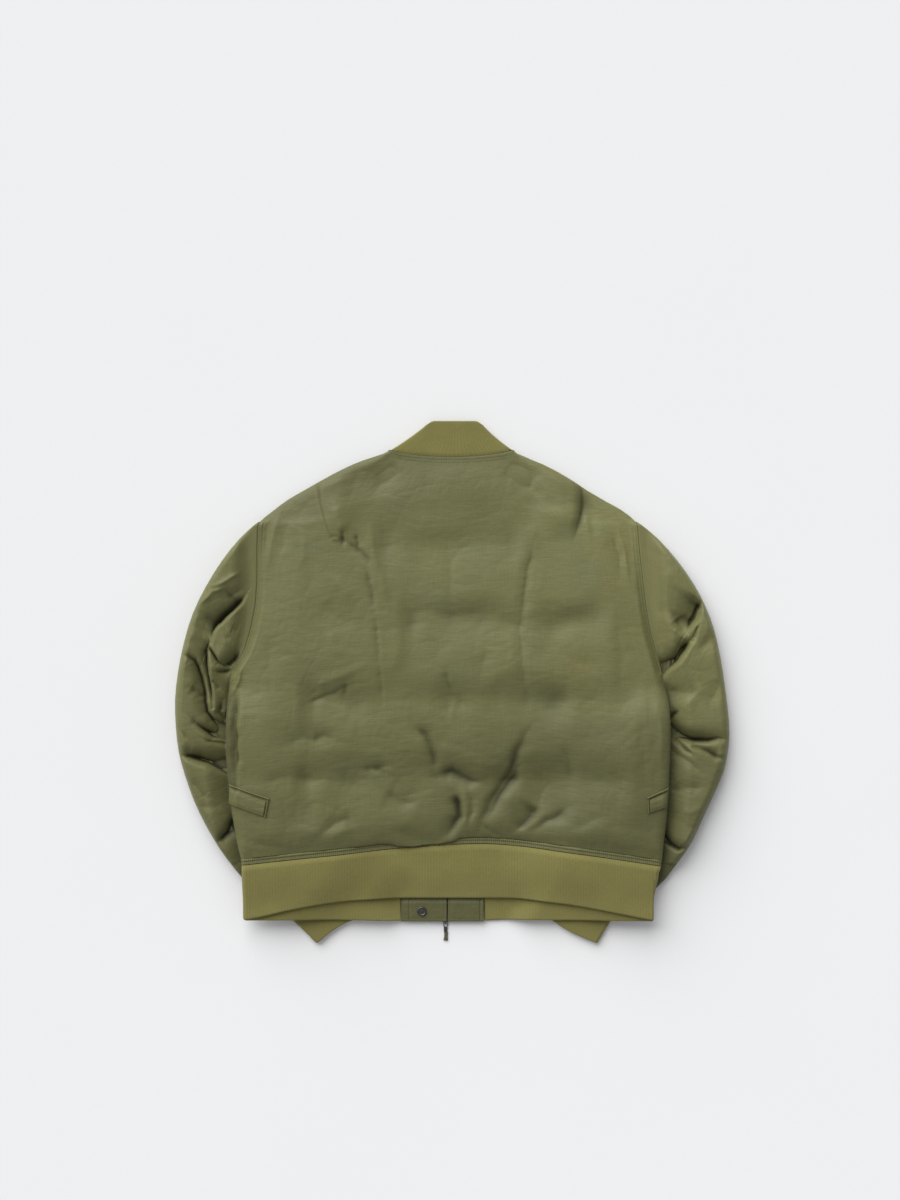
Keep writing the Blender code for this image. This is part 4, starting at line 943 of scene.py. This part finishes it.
def hem_centre(lines, share, step):
    parts = []
    for layer, (first, last) in HEM_RUN:
        if layer in ("left", "right"):
            value = np.linspace(0, 1, int(26 / step) + 2)[1:-1]
        else:
            value = np.linspace(first, last, int(abs(last - first) / step) + 1)
        parts.append(hem_surface(layer, value, share, lines))
    return np.concatenate(parts, axis=1)


def build_hem(rib, cloth):
    """The rib band and the woven binding along its seam; returns where both faces are sewn."""
    lines = {"front": (lambda x: front_hem_line(x) - 9.75, rounded_line(FRONT_RIB_END)),
             "back": (lambda x: hem_line(x) - 9.75, rounded_line(BACK_RIB_END))}
    rib_band("hem_knit", hem_centre(lines, edge_shares(78, 9), KNIT_STEP), rib, "hem_rib",
             flat=(1.2, 0.073), rests_on=["hem_binding_strip"])
    lines = {"front": (lambda x: front_hem_line(x) - 0.6, lambda x: front_hem_line(x) - 9.3),
             "back": (lambda x: hem_line(x) + 0.4, lambda x: hem_line(x) - 9.3)}
    share = np.array(BINDING_SHARES)
    centre = hem_centre(lines, share, BINDING_STEP)
    normal, run = facing(centre), lengths(centre, 1)
    press = 1 + 0.45 * bell(share, 0.30, 0.13) - 0.3 * bell(share, 0.55, 0.06)
    press = (press - 0.1 * ease(share, 0.5, 0.2)) * np.where((share < 0.01) | (share > 0.99), 0.66, 1)
    pucker = 1 + 0.09 * grain(run, 0, 3.6, 5)
    half = 0.5 * RIB_WALL * (press[:, None] * (pucker * end_wall(run)))[:, :, None]
    thing = skin("hem_binding_strip", centre + half * normal, centre - half * normal, cloth)
    dressed(thing, "hem_binding")
    return [(centre[row] + up * (half[row] + 0.1) * normal[row], up * normal[row])
            for row in (6, 9) for up in (1, -1)]


def stadium(length, height, flat, turn):
    """Points and normals round a flat oval, and the distance run."""
    half, radius = 0.5 * length - 0.5 * height, 0.5 * height
    along_flat, angles = half * (2 * np.arange(flat) / flat - 1), np.pi * np.arange(turn) / turn
    up, round_end = np.tile([0, 1], (flat, 1)), stacked(np.sin(angles), np.cos(angles))
    spots = np.concatenate([stacked(along_flat, radius), [half, 0] + radius * round_end,
                            stacked(-along_flat, -radius), [-half, 0] - radius * round_end])
    return spots, np.concatenate([up, round_end, -up, -round_end]), run_along(spots)


def build_cuff(made, sign):
    """A folded knit tube from the cuff seam to the wrist edge."""
    seam = np.array(SLEEVES[sign][-1], float).reshape(2, 2)
    wrist = np.array(CUFF_ENDS[sign])
    long = np.linalg.norm(wrist.mean(0) - seam.mean(0))
    run = (wrist.mean(0) - seam.mean(0)) / long
    outer, inner = [], []
    for part in edge_shares(long, 22):
        first, last = seam + part * (wrist - seam)
        middle = 0.5 * (first + last) + run * SEAM * (1 - part)
        width = np.linalg.norm(last - first)
        way = (last - first) / width
        width = width * (1 - 0.05 * np.sin(np.pi * part))
        round_off = edge_wall((1 - part) * long)
        for rings, shrink, depth in ((outer, 0, 0.2), (inner, 4, 0.1)):
            cut = shrink * round_off + 2 * (1 - round_off)
            spots, away, gone = stadium(width - 2 * cut, CUFF_STACK - 2 * cut, 168, 12)
            pitch = gone[-1] / np.round(gone[-1] / RIB_PITCH)
            spots = spots + away * (knit(gone, pitch, depth) * round_off - 0.08)[:, None]
            sag = 0.35 * grain(spots[:, 0], part * 60, 22, 6) * (spots[:, 1] > 0)
            across = np.clip(0.5 + spots[:, 0] / width, 0, 1)
            bend = CUFF_BEND[sign] * part ** 2 * np.sin(np.pi * across) ** 1.3
            flat = middle + way * spots[:, :1] + run * bend[:, None]
            rings.append(np.column_stack([flat, 0.5 * CUFF_STACK + spots[:, 1] + sag]))
    side = SIDES[sign]
    thing = skin("cuff_knit_" + side, np.array(outer), np.array(inner), made, 2, 4, closed=True)
    dressed(thing, "cuff_" + side)


def collar_surface(layer, side, value, share):
    """Points of the collar's centre surface, neck seam to top edge; side is -1 left or 1 right."""
    value, share = np.meshgrid(value, share)
    belly, gap = np.sin(np.pi * share) ** 0.6, 0.1 * (1 - share)
    left = 3.4 - NECK_HALF + 52 * share + 3 * belly
    right = NECK_HALF - 4.6 - 43.2 * share - 3.6 * belly
    base = left if side < 0 else right
    low_z, high_z = 3.6 - share, 9.6 - 2.3 * share + 1.4 * ramp(10 * share)
    if layer == "back":
        x = left + value * (right - left)
        corner = np.maximum(0, np.abs(2 * value - 1) - 0.8) / 0.2
        seam, top = neck_line(x) - 0.2 + gap, COLLAR_TOP - 2.2 * corner ** 2
        wave = 0.35 * grain(x, 60 * share, 24, 17) * ramp(5 * share) * (1 - corner)
        return stacked(x, seam + share * (top - seam), high_z + wave)
    if layer == "turn":
        bow, radius = np.sin(np.pi * value), 0.5 * (high_z - low_z)
        seam, top = NECK_CORNER_Y + gap, COLLAR_CORNER_Y - 2.6 * bow
        z = low_z + radius * (1 - np.cos(np.pi * value))
        return stacked(base + side * radius * bow, seam + share * (top - seam), z)
    x, drop = base + value * (ZIP_X + side * 4 - base), np.sin(0.5 * np.pi * value)
    seam, top = NECK_CORNER_Y - 65.5 * drop, COLLAR_CORNER_Y - 59 * drop
    return stacked(x, seam + share * (top - seam), low_z)


def build_collar(made):
    front, turn = np.linspace(1, 0.004, 150), np.linspace(0.04, 0.96, 20)
    runs = [("front", -1, front), ("turn", -1, turn), ("back", 0, np.linspace(0, 1, 290)),
            ("turn", 1, turn[::-1]), ("front", 1, front[::-1])]
    centre = np.concatenate([collar_surface(*run, edge_shares(50, 22)) for run in runs], axis=1)
    rib_band("collar_knit", centre, made, "collar_rib", flat=(0.44, 0.05), rests_on=["back_cloth"])


def stitch_row(spots, ups, base):
    """Points and faces of a row of stitches lying along a line of spots."""
    run, turns = run_along(spots), 2 * np.pi * np.arange(5) / 5
    points, faces = [], []

    def at_run(values, at):
        return np.array([np.interp(at, run, column) for column in values.T])

    for n in range(int(run[-1] / STITCH_PITCH)):
        faces += tube_faces(4, 5, base + len(points))
        for share, size, sink in ((0, 0.25, 0.28), (0.25, 1, 0), (0.75, 1, 0), (1, 0.25, 0.28)):
            at = (n + 0.5) * STITCH_PITCH + (share - 0.5) * STITCH_LENGTH
            up = at_run(ups, at)
            across = np.cross(at_run(spots, at + 0.5) - at_run(spots, at - 0.5), up)
            across, middle = across / np.linalg.norm(across), at_run(spots, at) - sink * up
            points += [middle + STITCH_RADIUS * size * (np.cos(turn) * across + np.sin(turn) * up)
                       for turn in turns]
    return points, faces


def sewing(name, rows, made):
    """All the stitch rows of one seam as one piece."""
    points, faces = [], []
    for spots, ups in rows:
        more_points, more_faces = stitch_row(spots, ups, len(points))
        points += more_points
        faces += more_faces
    dressed(mesh_thing(name, points, faces, made), None)


def flat_row(x, y, z):
    """A line of spots whose stitches face up."""
    spots = stacked(x, y, z)
    return spots, np.tile([0, 0, 1], (len(spots), 1))


def row_on_back(x, y):
    return flat_row(x, y, back_top(x, y) + 0.12)


def sew_seams(hem_rows, thread, dull):
    """Two rows inside each armhole seam, below the neck and on the hem, and the left pleat's tack."""
    y = np.linspace(UNDERARM_Y + 6, TIP_Y - 4, 160)
    for sign, side in SIDES.items():
        rows = [row_on_back(side_x(y, sign) + sign * inset, y) for inset in (2.4, 6.6)]
        sewing("armhole_sewing_" + side, rows, thread)
    lines = [(np.linspace(drop - 84, 84 - drop, 120), drop) for drop in (3, 7)]
    sewing("neck_sewing", [row_on_back(x, neck_line(x) - drop) for x, drop in lines], dull)
    sewing("hem_sewing", hem_rows, thread)
    x = np.linspace(-173.5, -152, 20)
    sewing("pleat_tack_left", [row_on_back(x, 205 - 5.5 * (x + 173.5) / 21.5)], thread)


def tab_base(y):
    """Height of the hem tabs' underside, raised over the zip slider."""
    return 3.3 + 2.2 * ease(y, -307, -7)


def build_tabs(made, thread):
    for side, (first, last, groove, flat) in TABS.items():
        x, y = np.meshgrid(np.linspace(first, last, TAB_GRID[1]),
                           np.linspace(TAB_LOW, TAB_HIGH, TAB_GRID[0]))
        edge = np.minimum(np.minimum(x - first, last - x), np.minimum(y - TAB_LOW, TAB_HIGH - y))
        sunk = 0.3 * bell(edge, 3.6, 1.3) + 0.9 * bell(x, groove, 0.9)
        sunk = sunk - 0.28 * grain(x, y, 14, 61) - 0.16 * grain(x, y, 5, 62)
        middle, half = tab_base(y) + 1.3, 1.3 * rounded(edge, 1.3, 0.04)
        top = middle + half - sunk * ramp(edge / 2)
        thing = skin("hem_tab_cloth_" + side, stacked(x, y, top), stacked(x, y, middle - half),
                     made, 4, 4)
        dressed(thing, "hem_tab_" + side)
        y, x = np.linspace(TAB_LOW + 4, TAB_HIGH - 4, 60), np.linspace(first + 4, last - 4, 50)
        rows = [flat_row(line, y, tab_base(y) + 2.48)
                for line in (first + 3.6, last - 3.6, groove + 2.6)]
        rows.append(flat_row(x, TAB_LOW + 3.6, tab_base(TAB_LOW) + 2.48))
        sewing("tab_sewing_" + side, rows, thread)


def rolled(away, radius, height):
    """Height of a round roll of cloth along an edge."""
    return height * np.sqrt(np.clip(1 - (away / radius - 1) ** 2, 0, 1))


def build_welts(made, thread):
    """Each welt: a rolled lip over the opening, a dark gap, and the welt's own puffed face."""
    for side, (corners, flat) in WELTS.items():
        one, two, three, four = np.array(corners, float)
        long = np.linalg.norm(two - one)
        deep = 0.5 * (np.linalg.norm(four - one) + np.linalg.norm(three - two))
        across = np.linspace(0, 1, int(long / WELT_STEPS[1]))[None, :]
        down = np.linspace(0, 1, int(deep / WELT_STEPS[0]))[:, None]
        x, y = [(a * (1 - across) + b * across) * (1 - down) + (d * (1 - across) + c * across) * down
                for a, b, c, d in zip(one, two, three, four)]
        from_top, from_low, from_in = down * deep, (1 - down) * deep, (1 - across) * long
        base = back_top(x, y) + 1.6 * ease(edge_distance(x, y), 16, -10)
        face = ease(from_top, 4.9, 1) * ease(from_in, 3.2, 1.2)
        face = face * ramp(from_low / 1.2) * ramp(across * long / 1.6 + 0.2)
        puff = 2.3 + 0.9 * ramp(from_low / 7) * ease(from_top, 5, 7)
        puff = puff + 0.25 * grain(x, y, 11, 5) - 0.45 * bell(from_low, 2.2, 0.8)
        rise = np.maximum(rolled(from_top, 1.2, 3.2), rolled(from_in, 1.3, 2.2))
        rise = np.maximum(rise, face * puff)
        thing = skin("welt_cloth_" + side, stacked(x, y, base + 0.7 + rise),
                     stacked(x, y, base + 0.5), made, 3, 3)
        dressed(thing, "pocket_welt_" + side)
        inward, downward = (two - one) / long, (three - two) / np.linalg.norm(three - two)
        rows = []
        for start, way, gone in ((two, -downward, 11), (three, downward, 3.5)):
            spots = start + way * np.linspace(0.5, gone, 16)[:, None] - inward * 0.6
            rows.append(row_on_back(*spots.T))
        sewing("welt_sewing_" + side, rows, thread)


def build_zip(tape, coil):
    """Two woven tapes and a closed coil under the front's edges."""
    for sign, side in SIDES.items():
        near, far = ZIP_X - sign * TAPE_NEAR, ZIP_X - sign * TAPE_FAR
        columns = np.linspace(min(near, far), max(near, far), TAPE_GRID[1])
        x, y = np.meshgrid(columns, np.linspace(ZIP_LOW, TAPE_HIGH, TAPE_GRID[0]))
        thick = 0.6 * rounded(np.minimum(x - columns[0], columns[-1] - x), 0.7, 0.05)
        ridge = 0.1 * np.cos(2 * np.pi * (x - columns[0]) / 2.2)
        thing = skin("zip_tape_cloth_" + side, stacked(x, y, 1.6 + thick + ridge * thick),
                     stacked(x, y, 1.6 - thick), tape, 8, 4)
        dressed(thing, "zip_tape_" + side)
    points, faces, turns = [], [], np.pi * np.arange(8) / 4
    for n in range(int((COIL_HIGH - ZIP_LOW) / COIL_PITCH)):
        faces += tube_faces(len(COIL_LOOP), len(turns), len(points))
        line = np.array(COIL_LOOP) * (1 if n % 2 else -1, 1)
        around, y = np.pad(line, ((1, 1), (0, 0)), mode="edge"), ZIP_LOW + 0.8 + COIL_PITCH * n
        way = around[2:] - around[:-2]
        way = 0.42 * way / np.linalg.norm(way, axis=1, keepdims=True)
        points += [(ZIP_X + across - up_way * np.cos(turn), y + 0.5 * np.sin(turn),
                    up + across_way * np.cos(turn))
                   for (across, up), (across_way, up_way) in zip(line, way) for turn in turns]
    dressed(mesh_thing("zip_chain_coil", points, faces, coil), "zip_chain")


def build_snap(metal):
    """A plain turned cap with a rolled rim and a shallow dish."""
    turns = 2 * np.pi * np.arange(48) / 48
    rings = [stacked(radius * np.cos(turns), radius * np.sin(turns), height)
             for radius, height in SNAP_OUTLINE]
    points = np.concatenate(rings) + [SNAP_X, SNAP_Y, tab_base(SNAP_Y) + 2.9]
    thing = mesh_thing("snap_cap", points, tube_faces(len(rings), len(turns)), metal)
    dressed(thing, "hem_snap")


def build_tail(made):
    """The pull's short woven tail, a little wider and frayed at its end."""
    y, part = np.meshgrid(np.linspace(TAIL_END_Y, PULL_Y - 12.7, TAIL_GRID[0]),
                          np.linspace(-1, 1, TAIL_GRID[1]), indexing="ij")
    share = (y - y[0]) / (y[-1] - y[0])
    half = 2.5 + 0.8 * ramp(1 - share * 2.2) + 0.3 * ease(share, 0.8, 0.2)
    half = half + 0.12 * grain(y, 9 * part, 1.6, 3)
    x = PULL_X + half * part + 0.5 * np.sin(2.2 * share)
    thick = 0.85 * np.sqrt(np.clip(1 - np.abs(part) ** 3, 0.03, 1))
    thick = thick * np.clip(0.55 + 4.8 * share, 0, 1)
    cord = 0.16 * np.cos(2 * np.pi * (y + 1.1 * np.abs(part)) / 1.5)
    thing = skin("pull_tail_cloth", stacked(x, y, 1.3 + thick + cord * thick),
                 stacked(x, y, 1.3 - thick), made, 3, 3)
    dressed(thing, "zip_pull_tail", "pull")


class Paint:
    """A procedural material under construction."""

    def __init__(self, name):
        self.made = bpy.data.materials.new(name)
        self.made.use_nodes = True
        self.tree = self.made.node_tree
        self.shader = self.tree.nodes["Principled BSDF"]
        self.place = self.tree.nodes.new("ShaderNodeTexCoord").outputs

    def plug(self, value, socket):
        """A link where the value is another node's output, otherwise a fixed value."""
        if isinstance(value, bpy.types.NodeSocket):
            self.tree.links.new(value, socket)
        elif isinstance(value, tuple) and socket.type == "RGBA":
            socket.default_value = (*value[:3], 1)
        else:
            socket.default_value = value

    def add(self, kind, inputs, **settings):
        node = self.tree.nodes.new("ShaderNode" + kind)
        for key, value in settings.items():
            setattr(node, key, value)
        for key, value in inputs.items():
            self.plug(value, node.inputs[key])
        return node

    def scaled(self, x, y, z=1, source="UV", turn=0):
        inputs = {"Vector": self.place[source], "Scale": (x, y, z), "Rotation": (0, 0, turn)}
        return self.add("Mapping", inputs).outputs["Vector"]

    def noise(self, x, y, detail, rough, twist=0, **where):
        """Cloudy values with x and y lumps to the metre across and along."""
        inputs = {"Vector": self.scaled(x, y, **where), "Scale": 1, "Detail": detail,
                  "Roughness": rough, "Distortion": twist}
        return self.add("TexNoise", inputs).outputs["Fac"]

    def wave(self, direction, scale, turn=0):
        inputs = {"Vector": self.scaled(1, 1, turn=turn), "Scale": scale}
        return self.add("TexWave", inputs, bands_direction=direction).outputs["Fac"]

    def maths(self, kind, one, two):
        return self.add("Math", {0: one, 1: two}, operation=kind).outputs[0]

    def range(self, value, low=0.3, high=0.7, to_low=0, to_high=1):
        inputs = {"Value": value, "From Min": low, "From Max": high, "To Min": to_low,
                  "To Max": to_high}
        return self.add("MapRange", inputs).outputs["Result"]

    def blend(self, share, one, two, kind="MIX"):
        inputs = {"Factor": share, 6: one, 7: two}
        return self.add("Mix", inputs, data_type="RGBA", blend_type=kind).outputs[2]

    def tones(self, share, colour, low, high):
        """Between a darker and a lighter tone of the colour."""
        low_tone, high_tone = [tuple(part * value for value in colour) for part in (low, high)]
        return self.blend(share, low_tone, high_tone)

    def tint(self, base, strength, share, low, high):
        """The base multiplied, as far as the strength says, by a tone between two others."""
        return self.blend(strength, base, self.blend(share, low, high), "MULTIPLY")

    def bump(self, height, distance, strength, under=None):
        inputs = {"Height": height, "Distance": distance, "Strength": strength}
        if under is not None:
            inputs["Normal"] = under
        return self.add("Bump", inputs).outputs["Normal"]

    def finish(self, colour, rough, normal, **inputs):
        inputs = {"Base Color": colour, "Roughness": rough, **inputs}
        if normal is not None:
            inputs["Normal"] = normal
        for key, value in inputs.items():
            self.plug(value, self.shader.inputs[key.replace("_", " ")])
        return self.made


def painted_light_gradient(paint, near_neck):
    """Painted light and shade: darker towards the hem and the lower +X corner, lighter towards +X and the
    collar.
    """
    x, y, _ = paint.add("SeparateXYZ", {"Vector": paint.place["Object"]}).outputs
    slant = paint.maths("ADD", x, paint.maths("MULTIPLY", y, 1.2))
    corner = paint.maths("MULTIPLY", paint.range(x, -0.02, 0.1), paint.range(y, -0.02, -0.07))
    share = paint.range(y, -0.215, -0.01, 0.885, 1)
    parts = [paint.range(slant, 0.05, 0.45, 0.95, 1.08), paint.range(corner, 0, 1, 1, 0.88)]
    # painted shade below the collar and painted light on the +X shoulder
    if near_neck:
        parts += [paint.range(y, 0.215, 0.285, 1, 0.84), paint.range(slant, 0.36, 0.5, 1, 1.14)]
    for part in parts:
        share = paint.maths("MULTIPLY", share, part)
    return paint.add("CombineXYZ", {0: share, 1: share, 2: share}).outputs["Vector"]


def nylon_paint(name, colour, rough, crinkle=1, sewn=0, painted_light=0):
    """Washed satin nylon: fine weave, slubs across and along, soft crinkles, painted shade in creases and,
    when asked, painted light and shade across the jacket.
    """
    paint = Paint(name)
    slubs, lines = paint.noise(34, 520, 4, 0.6), paint.noise(640, 22, 3, 0.55)
    patches, dust = paint.range(paint.noise(11, 13, 4, 0.6)), paint.noise(900, 900, 2, 0.6)
    base = paint.tones(paint.range(slubs, 0.34, 0.68), colour, 0.9, 1.12)
    base = paint.blend(0.35, base, paint.tones(paint.range(lines), colour, 0.86, 1.14))
    base = paint.tint(base, 0.8, patches, (1.03, 0.985, 0.93), (0.97, 1.01, 1.06))
    base = paint.tint(base, 0.3, dust, (0.78, 0.78, 0.78), (1.22, 1.22, 1.2))
    normal = paint.bump(paint.maths("MULTIPLY", paint.wave("X", 340), paint.wave("Y", 420)),
                        0.00006, 0.5)
    soft = paint.noise(40, 110, 5, 0.62, 0.5, turn=0.06)
    crossed = paint.noise(120, 48, 4, 0.6, 0.7, turn=0.5)
    normal = paint.bump(soft, 0.0009 * crinkle, 0.6, normal)
    normal = paint.bump(crossed, 0.0003 * crinkle, 0.6, normal)
    normal = paint.bump(slubs, 0.00022, 0.8, normal)
    # painted shade: the colour is multiplied towards dark grey as far as the 'hollow' attribute says
    deep = paint.add("Attribute", {}, attribute_name="hollow").outputs["Fac"]
    base = paint.blend(deep, base, (0.18, 0.18, 0.165), "MULTIPLY")
    # painted light and shade that change across the jacket
    if painted_light:
        base = paint.blend(1, base, painted_light_gradient(paint, painted_light > 1), "MULTIPLY")
    if sewn:
        across = paint.wave("X", 110)
        normal = paint.bump(across, sewn, 0.8, normal)
        base = paint.tint(base, 0.55, across, (0.6, 0.6, 0.6), (1.25, 1.25, 1.2))
    gloss = paint.range(patches, 0, 1, rough - 0.04, rough + 0.05)
    return paint.finish(base, gloss, normal, Specular_IOR_Level=0.28, Sheen_Weight=0.14,
                        Sheen_Roughness=0.45, Sheen_Tint=(0.80, 0.80, 0.50))


def knit_paint(name, colour):
    """Fine cotton rib: rows of small loops, a soft bloom of fibres, uneven dye."""
    paint = Paint(name)
    blotch, heather = paint.noise(26, 34, 4, 0.6), paint.noise(700, 260, 3, 0.6)
    base = paint.tones(paint.range(blotch), colour, 0.94, 1.05)
    base = paint.tint(base, 0.5, paint.range(heather), (0.84, 0.84, 0.84), (1.14, 1.14, 1.12))
    base = paint.tint(base, 0.18, paint.wave("X", 76), (0.75, 0.75, 0.75), (1.2, 1.2, 1.2))
    normal = paint.bump(paint.wave("Y", 190), 0.00012, 0.6)
    normal = paint.bump(heather, 0.00025, 0.6, normal)
    normal = paint.bump(blotch, 0.0012, 0.5, normal)
    return paint.finish(base, 0.88, normal, Specular_IOR_Level=0.22, Sheen_Weight=0.2,
                        Sheen_Roughness=0.6, Sheen_Tint=(0.85, 0.82, 0.55))


def woven_paint(name, colour):
    """Tight herringbone-like tape for the zip and the pull's tail."""
    paint = Paint(name)
    picks = paint.wave("Y", 300, 0.6)
    base = paint.tones(picks, colour, 0.8, 1.2)
    base = paint.tint(base, 0.5, paint.noise(500, 1400, 3, 0.6), (0.8, 0.8, 0.8), (1.2, 1.2, 1.2))
    normal = paint.bump(picks, 0.00018, 0.8)
    return paint.finish(base, 0.75, normal, Specular_IOR_Level=0.3, Sheen_Weight=0.15)


def thread_paint(name, colour):
    paint = Paint(name)
    twist = paint.noise(900, 900, 2, 0.5, z=900, source="Object")
    normal = paint.bump(twist, 0.0001, 0.6)
    return paint.finish(paint.tones(twist, colour, 0.7, 1.25), 0.62, normal,
                        Specular_IOR_Level=0.35)


def hard_paint(name, colour, rough, metal):
    """Dark metal or coil with fine scratches and duller patches."""
    paint = Paint(name)
    scratch = paint.noise(260, 2600, 3, 0.6, z=900, source="Object", turn=0.4)
    patch = paint.noise(420, 420, 3, 0.6, z=420, source="Object")
    gloss = paint.range(scratch, to_low=rough - 0.08, to_high=rough + 0.14)
    normal = paint.bump(scratch, 0.00004, 0.5)
    return paint.finish(paint.tones(patch, colour, 0.8, 1.25), gloss, normal, Metallic=metal,
                        Specular_IOR_Level=0.5)


def floor_paint():
    paint = Paint("studio_floor")
    tone = paint.noise(3, 3, 2, 0.5, z=3, source="Object")
    base = paint.blend(tone, (0.800, 0.806, 0.820), (0.812, 0.818, 0.832))
    return paint.finish(base, 0.9, None, Specular_IOR_Level=0.1)


def build_stage():
    line = np.linspace(-3, 3, 13)
    mesh = bpy.data.meshes.new("studio_floor")
    mesh.from_pydata([(x, y, -0.0004) for y in line for x in line], [], grid_faces(13, 13, False))
    mesh.materials.append(floor_paint())
    linked("studio_floor", mesh)
    world = bpy.data.worlds.new("soft_room")
    world.use_nodes = True
    room = world.node_tree.nodes["Background"]
    room.inputs["Color"].default_value = (1, 1, 1, 1)
    room.inputs["Strength"].default_value = WORLD_LIGHT
    bpy.context.scene.world = world
    lamp = bpy.data.lights.new("soft_key", "SUN")
    lamp.energy = KEY_LIGHT
    lamp.angle = np.radians(KEY_SPREAD)
    lamp.color = (1, 0.995, 0.985)
    key = linked("soft_key", lamp)
    away = Vector(KEY_FROM).normalized()
    key.rotation_euler = away.to_track_quat("Z", "Y").to_euler()
    key.location = away * 3
    lens = bpy.data.cameras.new("camera")
    lens.lens = CAMERA_LENS
    lens.sensor_width = 36
    lens.dof.use_dof = False
    camera = linked("camera", lens)
    camera.location = CAMERA_AT
    bpy.context.scene.camera = camera
    bpy.context.scene.view_settings.view_transform = "Standard"


def main():
    nylon = nylon_paint("olive_nylon_cloth", (0.136, 0.136, 0.054), 0.5, painted_light=2)
    sleeve = nylon_paint("olive_nylon_sleeve", (0.142, 0.142, 0.057), 0.54, painted_light=1)
    trim = nylon_paint("olive_nylon_trim", (0.090, 0.090, 0.036), 0.55, 0.5)
    strip = nylon_paint("olive_nylon_binding", (0.128, 0.128, 0.052), 0.6, 0.3, 0.0004)
    rib = knit_paint("olive_rib", (0.176, 0.160, 0.050))
    tape = woven_paint("olive_tape", (0.085, 0.085, 0.045))
    thread = thread_paint("olive_thread", (0.165, 0.162, 0.082))
    dull = thread_paint("olive_dark_thread", (0.072, 0.070, 0.034))
    coil = hard_paint("dark_coil", (0.03, 0.03, 0.022), 0.5, 0)
    metal = hard_paint("dark_metal_finish", (0.075, 0.075, 0.075), 0.38, 0.9)
    build_back(nylon)
    for sign in SIDES:
        build_front(nylon, sign)
        build_sleeve(sleeve, sign)
        build_cuff(rib, sign)
    hem_rows = build_hem(rib, strip)
    build_collar(rib)
    build_tabs(trim, thread)
    build_welts(nylon, thread)
    build_zip(tape, coil)
    build_snap(metal)
    build_tail(tape)
    for name in ("zip_slider", "zip_pull"):
        for slot in bpy.data.objects[name].material_slots:
            slot.material = metal
    sew_seams(hem_rows, thread, dull)
    build_stage()


main()
